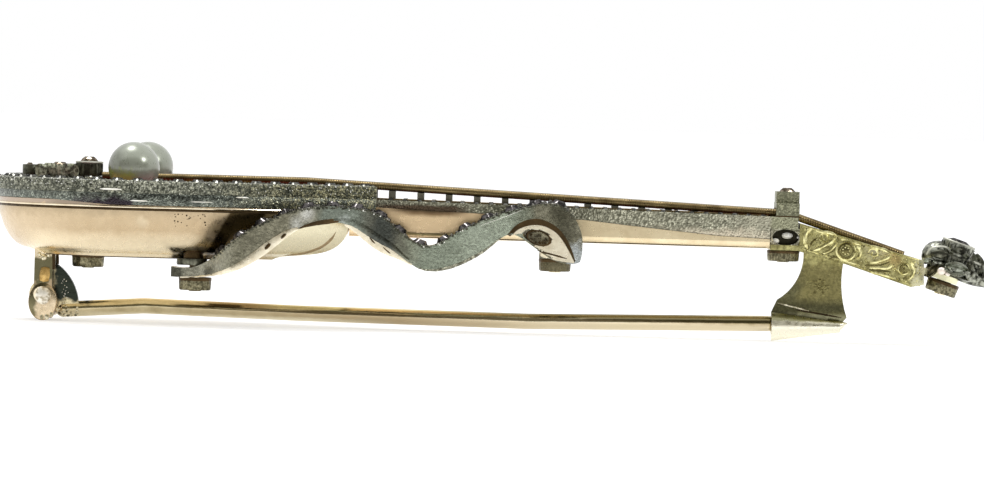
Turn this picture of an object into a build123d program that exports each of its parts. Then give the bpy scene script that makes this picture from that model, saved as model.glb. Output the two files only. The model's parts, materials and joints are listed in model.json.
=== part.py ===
from build123d import *
import math
import os

# A lute-shaped brooch, seen with its front up and its head towards +X.
# Heights are measured from the surface that it stands on, and y = 0 is its middle plane.
# Lengths are in millimetres.

# Body, a pear-shaped outline of three arcs
BODY_LENGTH = 25.3
TAIL_RADIUS = 8.5
SHOULDER_RADIUS = 40.0
BOWL_BASE = 4.48
BOWL_DEPTH = 3.22
BOWL_ROUND = 2.9
BOWL_KEEL = 5.0
BOWL_NECK_SETBACK = 1.8
BOWL_WALL = 0.55

# Bowl sections from the seam down, as shares of its depth, its rounding and its keel's length
BOWL_SECTION_COLUMNS = ("depth", "inset", "keel")
BOWL_SECTIONS = (
    (0.00, 0.04, 0.00),
    (0.45, 0.17, 0.03),
    (0.70, 0.34, 0.16),
    (0.87, 0.60, 0.48),
    (1.00, 1.00, 1.00),
)

# Gold band, silver border and enamel front
BAND_HEIGHT = 0.42
BAND_WIDTH = 2.5
BAND_INSET = 0.1
BORDER_HEIGHT = 1.32
BORDER_WIDTH = 1.6
SOUNDBOARD_THICKNESS = 0.25
SOUNDHOLE_X = 15.0
SOUNDHOLE_RADIUS = 2.1
SOUNDHOLE_RING_WIDTH = 0.75
SOUNDHOLE_RING_HEIGHT = 0.3

# Neck
NECK_LENGTH = 28.1
NECK_WIDTH = 4.4
NECK_DEPTH = 1.97
NECK_EDGE_RADIUS = 0.45
CAGE_LENGTH = 1.95
CAGE_OPENING = 0.7
CAGE_SETBACK = 0.1
RAIL_RISE_AT_HEAD = 0.14
RAIL_BELOW_STRINGS = 0.24
FINGERBOARD_WIDTH = 2.8
FINGERBOARD_THICKNESS = 0.2
FINGERBOARD_CLEARANCE = 0.65
FINGERBOARD_RISE = 0.0895

# Seam between the neck's gold and silver, as shares of the neck's length and depth
NECK_SEAM_COLUMNS = ("along", "drop")
NECK_SEAM = (
    (0.00, 0.00),
    (0.53, 0.22),
    (0.65, 0.37),
    (0.86, 0.61),
    (1.00, 0.68),
)

# Frets
FRET_COUNT = 12
FIRST_FRET_FROM_BODY = 1.0
FRET_PITCH = 1.9
FRET_PITCH_DROP = 0.013
FRET_WIDTH = 0.45

# Strings
STRING_COUNT = 4
STRING_DIAMETER = 0.5
STRING_PITCH = 0.72
STRING_TAIL_X = 7.0
STRING_TAIL_HEIGHT = 9.7
STRING_CREST_X = 20.5
STRING_CREST_HEIGHT = 9.73
STRING_NUT_HEIGHT = 8.53
STRING_END_FROM_NECK = 7.0
STRING_DROP_OVER_HEAD = 2.52
STRING_BEND_RADIUS = 3.0

# Pearls on the bridge
PEARL_DIAMETER = 3.4
PEARL_SPREAD = 6.4
PEARL_STAGGER = 0.6
BRIDGE_X = 9.5
BRIDGE_WIDTH = 0.8
BRIDGE_LENGTH = 5.4
BRIDGE_MARGIN = 0.3
CUP_RADIUS = 1.0
CUP_FLOOR = 0.17
CUP_HEIGHT = 0.5
PEG_RADIUS = 0.3
PEG_LENGTH = 0.8
PEG_END_CLEARANCE = 0.1

# Tail ornament with its three collets
ORNAMENT_PLATE_THICKNESS = 0.45
ORNAMENT_PLATE_START = 1.72
MIDDLE_PLATE_MARGIN = 0.6
DRUM_PLATE_MARGIN = 0.35
SMALL_COLLET_X = 2.09
SMALL_COLLET_RADIUS = 0.48
SMALL_COLLET_BASE = 9.67
SMALL_COLLET_TOP = 10.3
MIDDLE_COLLET_X = 4.1
MIDDLE_COLLET_RADIUS = 0.9
MIDDLE_COLLET_TOP = 10.15
DRUM_COLLET_X = 6.05
DRUM_COLLET_RADIUS = 0.85
DRUM_COLLET_BASE = 9.66
DRUM_COLLET_TOP = 10.61
COLLET_WALL = 0.2
COLLET_LEG_RADIUS = 0.16
COLLET_LEG_INSET = 0.05
DRUM_LEG_COUNT = 4
TAIL_BAR_WIDTH = 0.6
TAIL_BAR_HEIGHT = 0.35
TAIL_BAR_LEG = 0.4
TAIL_BAR_LAP = 0.1

# Cut stones
STONE_SIDES = 8
STONE_SEAT_DEPTH = 0.25
SMALL_STONE_RISE = 0.1
MIDDLE_STONE_RISE = 0.35
DRUM_STONE_RISE = 0.3
NUT_POST_STONE_RISE = 0.22
TERMINAL_STONE_RISE = 0.22
BORDER_STONE_DIAMETER = 1.05
BORDER_STONE_HEIGHT = 0.42
BORDER_STONE_PITCH = 1.32
NECK_STONE_DIAMETER = 0.5
NECK_STONE_HEIGHT = 0.34
NECK_STONE_PITCH = 0.93
RIBBON_STONE_DIAMETER = 1.2
RIBBON_STONE_HEIGHT = 0.42
RIBBON_STONE_PITCH = 1.62

# Rings of a cut stone from its base up, as shares of its diameter and of its height
STONE_RING_COLUMNS = ("radius", "height")
STONE_RINGS = (
    (0.50, 0.00),
    (0.50, 0.35),
    (0.41, 0.74),
    (0.24, 1.00),
)

# Post over the strings at the neck's end
NUT_POST_LENGTH = 1.6
NUT_POST_WIDTH = 4.2
NUT_POST_HEIGHT = 1.66
NUT_POST_LEG = 0.55
NUT_POST_ROOF = 0.35
NUT_POST_TOP_WIDTH = 2.8
NUT_POST_CLEARANCE = 0.1

# Head
HEAD_LENGTH = 8.36
HEAD_WIDTH = 5.8
HEAD_DEPTH = 2.0
HEAD_TOP_BELOW_BAND = 0.24
TONGUE_THICKNESS = 0.35
TONGUE_ROOT = 0.5
TONGUE_DROP = 0.05

# Head's side outline as shares of its length and depth, down from its top at the neck
HEAD_SIDE_COLUMNS = ("along", "drop")
HEAD_SIDE = (
    (0.000, 0.00),
    (0.857, 0.96),
    (0.994, 1.11),
    (1.000, 1.91),
    (0.889, 1.99),
    (0.382, 1.32),
    (0.000, 0.93),
)

# Head's half outline from above, as shares of its length and half width
HEAD_PLAN_COLUMNS = ("along", "half_width")
HEAD_PLAN = (
    (0.00, 0.74),
    (0.16, 0.66),
    (0.50, 0.78),
    (0.86, 1.00),
    (0.95, 0.95),
    (1.00, 0.74),
)

# Catch under the head
CATCH_PLATE_THICKNESS = 0.5
CATCH_TOP_FROM_NECK = 0.37
CATCH_TOP_WIDTH = 2.82
CATCH_FLARE = 1.6
CATCH_ROOT = 0.3
ROLL_FROM_STEM = 0.25
ROLL_LENGTH = 4.6
ROLL_RADIUS = 1.0
ROLL_TIP_RADIUS = 0.4
ROLL_WALL = 0.22
ROLL_SLOT = 0.9
ROLL_SLOT_SHIFT = 0.1
ROLL_LIP = 0.1
ROLL_RISE = 0.08
ROLL_CLOSED_LENGTH = 0.8

# Catch plate's sides, as shares of its flare outward from its top edge, and of the drop from
# the neck to the roll's axis
CATCH_SIDE_COLUMNS = ("out", "drop")
CATCH_LEFT = (
    (0.050, 0.2896),
    (1.000, 0.6641),
)
CATCH_RIGHT = (
    (0.000, 0.0772),
    (-0.094, 0.5019),
    (0.156, 0.8687),
)

# Terminal at the head's end, a tilted flower around its own screw
TERMINAL_TILT = 18.0
TERMINAL_BASE = 4.75
TERMINAL_SCREW_REACH = 1.6
TERMINAL_LUG_WIDTH = 1.8
TERMINAL_LUG_THICKNESS = 0.4
TERMINAL_LUG_ROOT = 0.6
TERMINAL_PLATE_RADIUS = 1.45
TERMINAL_PLATE_THICKNESS = 0.7
TERMINAL_LENGTH = 3.4
TERMINAL_WIDTH = 5.0
TERMINAL_STEM_WIDTH = 1.6
TERMINAL_STALK_WIDTH = 0.6
TERMINAL_LEAF_COUNT = 6
TERMINAL_LEAF_RADIUS = 0.7
TERMINAL_LEAF_RING = 1.5
TERMINAL_LEAF_HEIGHT = 1.25

# Collets of the terminal: place as shares of its length past the screw and of its width,
# and radius and height as shares of its plate's radius
TERMINAL_COLUMNS = ("along", "across", "radius", "height")
TERMINAL_COLLETS = (
    (0.03, 0.00, 0.79, 1.55),
    (0.47, 0.33, 0.46, 0.97),
    (0.47, -0.33, 0.46, 0.97),
    (0.76, 0.00, 0.55, 0.86),
)

# Ribbon beside the neck
RIBBON_START = 12.0
RIBBON_LENGTH = 27.0
RIBBON_BASE = 3.28
RIBBON_RISE = 5.3
RIBBON_WIDTH = 2.6
RIBBON_GAP = 0.28
RIBBON_LUG_THICKNESS = 0.5
RIBBON_LUG_LAP = 1.2
RIBBON_LUG_DROP = 0.5609
RIBBON_LUG_RISE = 0.47
RIBBON_STONES_FROM = 0.12
RIBBON_STONES_TO = 0.97
EYE_LENGTH = 1.9
EYE_HEIGHT = 0.84
EYE_TILT = -14.0
EYE_ALONG = 0.888
EYE_RISE = 0.615

# Ribbon's edges as shares of its length and rise, and how far it is tucked under the bowl,
# as a share of the bowl's rounding
RIBBON_TOP_COLUMNS = ("along", "rise")
RIBBON_TOP = (
    (0.000, 0.125),
    (0.072, 0.160),
    (0.156, 0.490),
    (0.253, 0.780),
    (0.335, 0.912),
    (0.420, 0.920),
    (0.503, 0.830),
    (0.553, 0.640),
    (0.628, 0.470),
    (0.677, 0.590),
    (0.786, 0.870),
    (0.847, 0.970),
    (0.950, 1.000),
    (0.985, 0.820),
    (1.000, 0.450),
    (0.995, 0.320),
)
RIBBON_BOTTOM_COLUMNS = ("along", "rise")
RIBBON_BOTTOM = (
    (0.985, 0.300),
    (0.910, 0.390),
    (0.868, 0.540),
    (0.825, 0.640),
    (0.772, 0.460),
    (0.725, 0.300),
    (0.679, 0.196),
    (0.600, 0.185),
    (0.540, 0.430),
    (0.489, 0.600),
    (0.439, 0.735),
    (0.377, 0.725),
    (0.300, 0.620),
    (0.255, 0.466),
    (0.158, 0.138),
    (0.060, 0.005),
    (0.000, 0.000),
)
RIBBON_ROUTE_COLUMNS = ("along", "tuck")
RIBBON_ROUTE = (
    (0.000, 1.46),
    (0.072, 1.30),
    (0.120, 0.60),
    (0.156, 0.20),
    (0.253, 0.06),
    (0.376, 0.00),
    (0.503, 0.00),
    (0.600, 0.00),
    (0.750, 0.00),
    (1.000, 0.00),
)

# Round screw nuts and the stems that they hold
SCREW_RADIUS = 0.4
SCREW_END = 0.06
NUT_RADIUS = 1.08
NUT_HEIGHT = 0.85
NECK_NUT_HEIGHT = 0.73
NUT_CHAMFER = 0.08
TAIL_SCREW_X = 6.15
RIBBON_SCREW_X = 13.55
RIBBON_SCREW_Y = 5.35
NECK_SCREW_X = 37.25
NECK_SCREW_Y = 1.2
CAGE_SCREW_FROM_NECK_END = 0.95

# Hinge and its rivet
HINGE_X = 3.24
HINGE_HEIGHT = 1.73
HINGE_WIDTH = 4.0
CHEEK_HALF_WIDTH = 0.94
CHEEK_HALF_HEIGHT = 1.26
CHEEK_SHIFT = 0.07
HINGE_POST_WIDTH = 1.2
RIVET_RADIUS = 0.35
RIVET_HEAD_RADIUS = 0.52
RIVET_HEAD_HEIGHT = 0.22

# Pin
STEM_DIAMETER = 1.05
STEM_LENGTH = 48.3
STEM_STRAIGHT = 16.0
STEM_END_HEIGHT = 1.15
STEM_SAG = 0.33
EYE_RADIUS = 0.92
EYE_THICKNESS = 1.2
FIN_THICKNESS = 0.8
FIN_HEIGHT = 1.98
FIN_REACH = 2.4
NEEDLE_LENGTH = 3.3
NEEDLE_TIP_RADIUS = 0.12
STEM_ROOT = 0.2
STEM_LEAD = 0.5
STEM_BENDS = (6.0, 6.0, 20.0, 30.0, 20.0)
FIN_TIP_WIDTH = 0.35
FIN_TIP_DROP = 0.15
FIN_BELLY = (0.84, 0.36)

# Stem's bow between the eye and its straight stretch, as shares of that length and of the sag
STEM_BOW_COLUMNS = ("along", "rise")
STEM_BOW = (
    (0.020, -0.30),
    (0.080, 0.10),
    (0.190, 0.85),
    (0.310, 0.62),
    (0.520, 0.28),
)

# Clearances
SEAM = 0.03
BORE_CLEARANCE = 0.03
RIVET_CLEARANCE = 0.03
CHEEK_CLEARANCE = 0.06
STONE_CLEARANCE = 0.03
FRET_CLEARANCE = 0.02
HINGE_SLOT_CLEARANCE = 0.3

# How far a cut reaches past what it cuts
PAST = 1.0


# Heights and places that follow from the sizes above
bowl_seam = BOWL_BASE + BOWL_DEPTH
band_base = bowl_seam + SEAM
band_top = band_base + BAND_HEIGHT
border_base = band_top + SEAM
border_top = border_base + BORDER_HEIGHT
soundboard_top = border_base + SOUNDBOARD_THICKNESS
rail_top_at_head = STRING_NUT_HEIGHT - RAIL_BELOW_STRINGS
neck_line_at_head = rail_top_at_head - RAIL_RISE_AT_HEAD
neck_bottom = neck_line_at_head - NECK_DEPTH
neck_end = BODY_LENGTH + NECK_LENGTH
cage_start = neck_end - CAGE_LENGTH
half_neck = NECK_WIDTH / 2
board_top_at_start = soundboard_top + SEAM + FINGERBOARD_RISE + FINGERBOARD_THICKNESS
fingerboard_start = SOUNDHOLE_X + SOUNDHOLE_RADIUS + SOUNDHOLE_RING_WIDTH + FINGERBOARD_CLEARANCE
string_nut_x = neck_end - NUT_POST_LENGTH / 2
string_end_x = neck_end + STRING_END_FROM_NECK
half_strings = (STRING_COUNT - 1) * STRING_PITCH / 2 + STRING_DIAMETER / 2
stem_radius = STEM_DIAMETER / 2
stem_end_x = HINGE_X + STEM_LENGTH
stem_sag_height = STEM_END_HEIGHT - STEM_SAG
head_top = neck_line_at_head - HEAD_TOP_BELOW_BAND
head_start = neck_end + SEAM


def rows(columns, table):
    """Each row of a table as a dictionary by its columns' names."""
    return [dict(zip(columns, row)) for row in table]


def between(x, x0, z0, x1, z1):
    """Height at x on the straight line through two points."""
    return z0 + (z1 - z0) * (x - x0) / (x1 - x0)


def side_face(points, y):
    """Flat face at y with the given (x, z) corners."""
    return make_face(Polyline(*[(x, y, z) for x, z in points], close=True))


def side_slab(points, y_low, y_high):
    """Solid with the given (x, z) corners, from y_low to y_high."""
    return extrude(side_face(points, y_low), amount=y_high - y_low, dir=(0, 1, 0))


def plan_slab(points, z_low, z_high):
    """Solid with the given (x, y) corners, from z_low to z_high."""
    face = make_face(Polyline(*[(x, y, z_low) for x, y in points], close=True))
    return extrude(face, amount=z_high - z_low, dir=(0, 0, 1))


def block(x_low, x_high, y_low, y_high, z_low, z_high):
    """Rectangular block between two corners."""
    centre = ((x_low + x_high) / 2, (y_low + y_high) / 2, (z_low + z_high) / 2)
    return Pos(*centre) * Box(x_high - x_low, y_high - y_low, z_high - z_low)


def upright(x, y, radius, z_low, z_high):
    """Upright round bar from z_low to z_high."""
    return Pos(x, y, (z_low + z_high) / 2) * Cylinder(radius, z_high - z_low)


def across(x, z, radius, y_low, y_high):
    """Round bar along Y from y_low to y_high."""
    turned = Location((x, (y_low + y_high) / 2, z), (90, 0, 0))
    return turned * Cylinder(radius, y_high - y_low)


def shoulder_turn():
    """Direction from the tail's centre to where the tail arc meets the shoulder arcs."""
    along = BODY_LENGTH - TAIL_RADIUS
    reach = math.hypot(along, half_neck)
    spare = SHOULDER_RADIUS - TAIL_RADIUS
    lean = (SHOULDER_RADIUS**2 - spare**2 - reach**2) / (2 * spare * reach)
    return math.atan2(half_neck, along) + math.acos(lean)


shoulder_angle = shoulder_turn()
shoulder_centre_x = TAIL_RADIUS - (SHOULDER_RADIUS - TAIL_RADIUS) * math.cos(shoulder_angle)
shoulder_centre_y = (TAIL_RADIUS - SHOULDER_RADIUS) * math.sin(shoulder_angle)


def meeting_x(inset):
    """Where the tail arc meets the shoulder arcs on an outline set in by inset."""
    return TAIL_RADIUS + (TAIL_RADIUS - inset) * math.cos(shoulder_angle)


def half_width(x, inset=0.0):
    """Half the body's width at x, on an outline set in by inset."""
    if x < meeting_x(inset):
        return math.sqrt(max((TAIL_RADIUS - inset)**2 - (x - TAIL_RADIUS)**2, 0.0))
    return shoulder_centre_y + math.sqrt((SHOULDER_RADIUS - inset)**2 - (x - shoulder_centre_x)**2)


def body_face(inset, end_x, z):
    """Face of the body's outline, set in by inset and cut off square at end_x."""
    meet = meeting_x(inset)
    middle = (meet + end_x) / 2
    meet_half = half_width(meet + 1e-9, inset)
    middle_half = half_width(middle, inset)
    end_half = half_width(end_x, inset)
    edges = [
        ThreePointArc((end_x, end_half, z), (middle, middle_half, z), (meet, meet_half, z)),
        ThreePointArc((meet, meet_half, z), (inset, 0, z), (meet, -meet_half, z)),
        ThreePointArc((meet, -meet_half, z), (middle, -middle_half, z), (end_x, -end_half, z)),
        Line((end_x, -end_half, z), (end_x, end_half, z)),
    ]
    return make_face(edges)


def body_slab(inset, end_x, z_low, z_high):
    """Solid of the body's outline from z_low to z_high."""
    return extrude(body_face(inset, end_x, z_low), amount=z_high - z_low, dir=(0, 0, 1))


def bowl_form(wall):
    """Bowl-shaped solid, set in and raised by wall."""
    end_x = BODY_LENGTH - BOWL_NECK_SETBACK - wall
    sections = []
    for row in rows(BOWL_SECTION_COLUMNS, BOWL_SECTIONS):
        inset = wall + row["inset"] * BOWL_ROUND
        z = bowl_seam - row["depth"] * (BOWL_DEPTH - wall)
        sections.append(body_face(inset, end_x - row["keel"] * BOWL_KEEL, z))
    return loft(sections)


def rail_top(x):
    """Height of the silver rails' top, level with the fingerboard's face."""
    return between(x, fingerboard_start, board_top_at_start, neck_end, rail_top_at_head)


def neck_seam_line(raised=0.0):
    """Points of the seam along the neck, from the body to where the gold ends."""
    points = []
    for row in rows(NECK_SEAM_COLUMNS, NECK_SEAM):
        x = BODY_LENGTH + row["along"] * (cage_start - BODY_LENGTH)
        line = between(x, BODY_LENGTH, band_top, cage_start, neck_line_at_head)
        points.append((x, line - row["drop"] * NECK_DEPTH + raised))
    return points


def string_height(x):
    """Height of the strings' middle line at x, between the tail and the head."""
    if x < STRING_CREST_X:
        return between(x, STRING_TAIL_X, STRING_TAIL_HEIGHT, STRING_CREST_X, STRING_CREST_HEIGHT)
    return between(x, STRING_CREST_X, STRING_CREST_HEIGHT, string_nut_x, STRING_NUT_HEIGHT)


def string_floor(x):
    """Height just under the strings at x."""
    return string_height(x) - STRING_DIAMETER / 2 - FRET_CLEARANCE


def facet(*corners):
    """Flat face through the given corners."""
    return Face(Wire.make_polygon(list(corners), close=True))


def ring_of(row, diameter, height, turn=0.0):
    """Corners of a regular ring of a cut stone."""
    radius = row["radius"] * diameter
    step = 2 * math.pi / STONE_SIDES
    turns = [step * (side + turn) for side in range(STONE_SIDES)]
    return [Vector(radius * math.cos(a), radius * math.sin(a), row["height"] * height) for a in turns]


def cut_stone(diameter, height):
    """Cut stone with a flat table and three rows of facets over a flat base at z = 0."""
    low, middle, high, top = rows(STONE_RING_COLUMNS, STONE_RINGS)
    base = ring_of(low, diameter, height)
    girdle = ring_of(middle, diameter, height)
    crown = ring_of(high, diameter, height, 0.5)
    table = ring_of(top, diameter, height)
    faces = [facet(*reversed(base)), facet(*table)]
    for side in range(STONE_SIDES):
        after = (side + 1) % STONE_SIDES
        faces.append(facet(base[side], base[after], girdle[after], girdle[side]))
        faces.append(facet(girdle[side], girdle[after], crown[side]))
        faces.append(facet(girdle[after], crown[after], crown[side]))
        faces.append(facet(crown[side], crown[after], table[after]))
        faces.append(facet(crown[side], table[after], table[side]))
    return Solid(Shell(faces))


def seat_tool(diameter):
    """Round seat for a stone, cut down from z = 0."""
    reach = STONE_SEAT_DEPTH + diameter
    return Pos(0, 0, reach / 2 - STONE_SEAT_DEPTH) * Cylinder(diameter / 2 + STONE_CLEARANCE, reach)


def stones_at(places, diameter, height):
    """Cut stones in their seats at the given places."""
    drop = Pos(0, 0, STONE_CLEARANCE - STONE_SEAT_DEPTH)
    return Compound(children=[place * drop * cut_stone(diameter, height) for place in places])


def seats_at(places, diameter):
    """Seats at the given places."""
    return [place * seat_tool(diameter) for place in places]


def bore(x, y, z_low, z_high):
    """Hole for a screw stem."""
    return upright(x, y, SCREW_RADIUS + BORE_CLEARANCE, z_low, z_high)


def border_places():
    """Places of the stones along the border's middle line, clear of the neck's channel."""
    inset = BORDER_WIDTH / 2
    meet_half = half_width(meeting_x(inset) + 1e-9, inset)
    tail_length = (TAIL_RADIUS - inset) * (math.pi - shoulder_angle)
    end_x = BODY_LENGTH - BORDER_WIDTH / 2
    chord = math.hypot(end_x - meeting_x(inset), meet_half - half_width(end_x, inset))
    shoulder_sweep = 2 * math.asin(chord / (2 * (SHOULDER_RADIUS - inset)))
    side_length = tail_length + (SHOULDER_RADIUS - inset) * shoulder_sweep
    count = int(side_length / BORDER_STONE_PITCH)
    places = []
    for step in range(count + 1):
        along = step * side_length / count
        if along < tail_length:
            turn = math.pi - along / (TAIL_RADIUS - inset)
            x = TAIL_RADIUS + (TAIL_RADIUS - inset) * math.cos(turn)
            y = (TAIL_RADIUS - inset) * math.sin(turn)
        else:
            turn = shoulder_angle - (along - tail_length) / (SHOULDER_RADIUS - inset)
            x = shoulder_centre_x + (SHOULDER_RADIUS - inset) * math.cos(turn)
            y = shoulder_centre_y + (SHOULDER_RADIUS - inset) * math.sin(turn)
        places.append(Pos(x, y, border_top))
        if step > 0:
            places.append(Pos(x, -y, border_top))
    return places


def neck_places():
    """Places along both rails of the neck."""
    start = BODY_LENGTH + NECK_STONE_PITCH
    length = cage_start - start - NECK_STONE_PITCH / 2
    count = int(length / NECK_STONE_PITCH)
    rail_middle = (half_neck + FINGERBOARD_WIDTH / 2 + SEAM) / 2
    tilt = math.degrees(math.atan2(rail_top(BODY_LENGTH) - rail_top(neck_end), NECK_LENGTH))
    places = []
    for step in range(count + 1):
        x = start + step * length / count
        for side in (-1, 1):
            places.append(Location((x, side * rail_middle, rail_top(x)), (0, tilt, 0)))
    return places


def ribbon_point(row):
    """Side view point of a ribbon edge's row."""
    return (RIBBON_START + row["along"] * RIBBON_LENGTH, RIBBON_BASE + row["rise"] * RIBBON_RISE)


def ribbon_edge(columns, table, y):
    """Smooth edge of the ribbon in side view at y."""
    points = [ribbon_point(row) for row in rows(columns, table)]
    return Spline(*[(x, y, z) for x, z in points])


def ribbon_inner_y(x, tuck):
    """Distance of the ribbon's inner edge from the middle plane."""
    clear_of = half_neck
    if x < BODY_LENGTH:
        clear_of = max(half_width(x), half_neck)
    return clear_of + RIBBON_GAP - tuck * BOWL_ROUND


def ribbon_route():
    """Points of the ribbon's inner edge from above, as (x, distance from the middle plane)."""
    route = []
    for row in rows(RIBBON_ROUTE_COLUMNS, RIBBON_ROUTE):
        x = RIBBON_START + row["along"] * RIBBON_LENGTH
        route.append((x, ribbon_inner_y(x, row["tuck"])))
    return route


def ribbon_places():
    """Places of the stones along the ribbon's top, square to its surface."""
    edge = ribbon_edge(RIBBON_TOP_COLUMNS, RIBBON_TOP, 0.0)
    inner = Spline(*[(x, y, 0) for x, y in ribbon_route()])
    first = RIBBON_START + RIBBON_STONES_FROM * RIBBON_LENGTH
    last = RIBBON_START + RIBBON_STONES_TO * RIBBON_LENGTH
    samples = [edge.position_at(step / 400) for step in range(401)]
    travelled = 0.0
    wanted = 0.0
    places = []
    for step in range(1, 401):
        here = samples[step]
        before = samples[step - 1]
        if here.X < first or here.X > last:
            continue
        travelled += (here - before).length
        if travelled < wanted:
            continue
        wanted += RIBBON_STONE_PITCH
        slope = edge.tangent_at(step / 400)
        if slope.X <= 0.2:
            continue
        y = -(inner_y_at(inner, here.X) + RIBBON_WIDTH / 2)
        tilt = -math.degrees(math.atan2(slope.Z, slope.X))
        places.append(Location((here.X, y, here.Z), (0, tilt, 0)))
    return places


def inner_y_at(inner, x):
    """Distance of the ribbon's inner edge at x, found by halving."""
    low, high = 0.0, 1.0
    for _ in range(30):
        middle = (low + high) / 2
        if inner.position_at(middle).X < x:
            low = middle
        else:
            high = middle
    return inner.position_at(low).Y


def make_bowl():
    """Hollow gold bowl with the hinge and the ribbon's stud soldered under it."""
    hollow_top = block(-PAST, BODY_LENGTH, -TAIL_RADIUS, TAIL_RADIUS, bowl_seam, bowl_seam + PAST)
    hollow = bowl_form(BOWL_WALL)
    bowl = bowl_form(0.0) - hollow - hollow_top
    half_hinge = HINGE_WIDTH / 2
    cheek_x = HINGE_X + CHEEK_SHIFT
    cheek = Location((cheek_x, half_hinge, CHEEK_HALF_HEIGHT), (90, 0, 0)) * extrude(
        Ellipse(CHEEK_HALF_WIDTH, CHEEK_HALF_HEIGHT), amount=HINGE_WIDTH)
    half_post = HINGE_POST_WIDTH / 2
    post = block(cheek_x - half_post, cheek_x + half_post, -half_hinge, half_hinge,
                 HINGE_HEIGHT, BOWL_BASE + BOWL_WALL / 2)
    slot_half = EYE_THICKNESS / 2 + CHEEK_CLEARANCE
    slot_top = HINGE_HEIGHT + FIN_HEIGHT + HINGE_SLOT_CLEARANCE
    slot = block(cheek_x - HINGE_WIDTH, cheek_x + HINGE_WIDTH, -slot_half, slot_half, -PAST, slot_top)
    rivet_hole = across(HINGE_X, HINGE_HEIGHT, RIVET_RADIUS + RIVET_CLEARANCE,
                        -half_hinge - PAST, half_hinge + PAST)
    nut_top = ribbon_lug_base - SEAM
    stud = upright(RIBBON_SCREW_X, -RIBBON_SCREW_Y, SCREW_RADIUS,
                   nut_top - NUT_HEIGHT - SCREW_END, BOWL_BASE + BOWL_WALL)
    hole = bore(TAIL_SCREW_X, 0, BOWL_BASE - PAST, BOWL_BASE + PAST)
    return bowl + (cheek + post - slot - rivet_hole) + stud - hole


def make_gold_frame():
    """Gold band around the bowl's rim and the gold of the neck, as one piece."""
    ring = body_slab(BAND_INSET, BODY_LENGTH, band_base, band_top)
    ring -= body_slab(BAND_INSET + BAND_WIDTH, BODY_LENGTH - BAND_WIDTH,
                      band_base - PAST, band_top + PAST)
    start = BODY_LENGTH - BOWL_NECK_SETBACK + SEAM
    profile = [(start, neck_bottom), (start, band_top)] + neck_seam_line()
    profile += [(cage_start, neck_bottom)]
    neck = side_slab(profile, -half_neck, half_neck)
    low_edges = neck.edges().filter_by(Axis.X).sort_by(Axis.Z)[0:2]
    neck = fillet(low_edges, NECK_EDGE_RADIUS)
    nut_top = ribbon_flap_base - SEAM
    stud = upright(NECK_SCREW_X, -NECK_SCREW_Y, SCREW_RADIUS,
                   nut_top - NUT_HEIGHT - SCREW_END, neck_bottom + SCREW_RADIUS)
    return ring + neck + stud


def make_silver_border(stone_seats):
    """Silver border, neck rails and the block that holds the strings' post."""
    ring = body_slab(0.0, BODY_LENGTH, border_base, border_top)
    ring -= body_slab(BORDER_WIDTH, BODY_LENGTH - BORDER_WIDTH, border_base - PAST, border_top + PAST)
    profile = neck_seam_line(SEAM)
    block_base = profile[-1][1] + CAGE_OPENING
    block_end = neck_end - CAGE_SETBACK
    profile += [(cage_start, block_base), (block_end, block_base)]
    profile += [(block_end, rail_top(block_end)), (BODY_LENGTH, rail_top(BODY_LENGTH))]
    rails = side_slab(profile, -half_neck, half_neck)
    floor = FINGERBOARD_THICKNESS + SEAM
    channel_start = BODY_LENGTH - 2 * BORDER_WIDTH
    channel = [(channel_start, rail_top(channel_start) - floor),
               (cage_start + SEAM, rail_top(cage_start) - floor),
               (cage_start + SEAM, border_top + PAST),
               (channel_start, border_top + PAST)]
    half_channel = FINGERBOARD_WIDTH / 2 + SEAM
    border = ring + rails - side_slab(channel, -half_channel, half_channel)
    groove_floor = head_string_height(neck_end) - STRING_DIAMETER / 2 - SEAM
    groove = block(cage_start, neck_end + PAST, -half_channel, half_channel, groove_floor,
                   border_top + PAST)
    stem_x = neck_end - CAGE_SCREW_FROM_NECK_END
    stem = upright(stem_x, 0, SCREW_RADIUS,
                   tongue_base - SEAM - NECK_NUT_HEIGHT - SCREW_END, block_base + SCREW_RADIUS / 2)
    return border - groove + stem - stone_seats


def head_string_height(x):
    """Height of the strings' middle line over the head."""
    return between(x, string_nut_x, STRING_NUT_HEIGHT, string_end_x,
                   STRING_NUT_HEIGHT - STRING_DROP_OVER_HEAD)


def make_soundboard():
    """Enamelled front of the body with its sound hole."""
    inset = BORDER_WIDTH + SEAM
    board = body_slab(inset, BODY_LENGTH - BORDER_WIDTH - SEAM, border_base, soundboard_top)
    hole = upright(SOUNDHOLE_X, 0, SOUNDHOLE_RADIUS, border_base - PAST, soundboard_top + PAST)
    return board - hole - bore(TAIL_SCREW_X, 0, border_base - PAST, soundboard_top + PAST)


def make_soundhole_ring():
    """Gold ring around the sound hole."""
    base = soundboard_top + SEAM
    ring = upright(SOUNDHOLE_X, 0, SOUNDHOLE_RADIUS + SOUNDHOLE_RING_WIDTH, base,
                   base + SOUNDHOLE_RING_HEIGHT)
    return ring - upright(SOUNDHOLE_X, 0, SOUNDHOLE_RADIUS, base - PAST, base + PAST)


def make_fingerboard():
    """Thin enamelled board between the rails, reaching over the soundboard."""
    end = cage_start - SEAM
    profile = [(fingerboard_start, rail_top(fingerboard_start)), (end, rail_top(end)),
               (end, rail_top(end) - FINGERBOARD_THICKNESS),
               (fingerboard_start, rail_top(fingerboard_start) - FINGERBOARD_THICKNESS)]
    return side_slab(profile, -FINGERBOARD_WIDTH / 2, FINGERBOARD_WIDTH / 2)


def fret_places():
    """Middle of each fret along the neck."""
    places = []
    x = BODY_LENGTH + FIRST_FRET_FROM_BODY
    for number in range(FRET_COUNT):
        places.append(x)
        x += FRET_PITCH - number * FRET_PITCH_DROP
    return places


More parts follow.
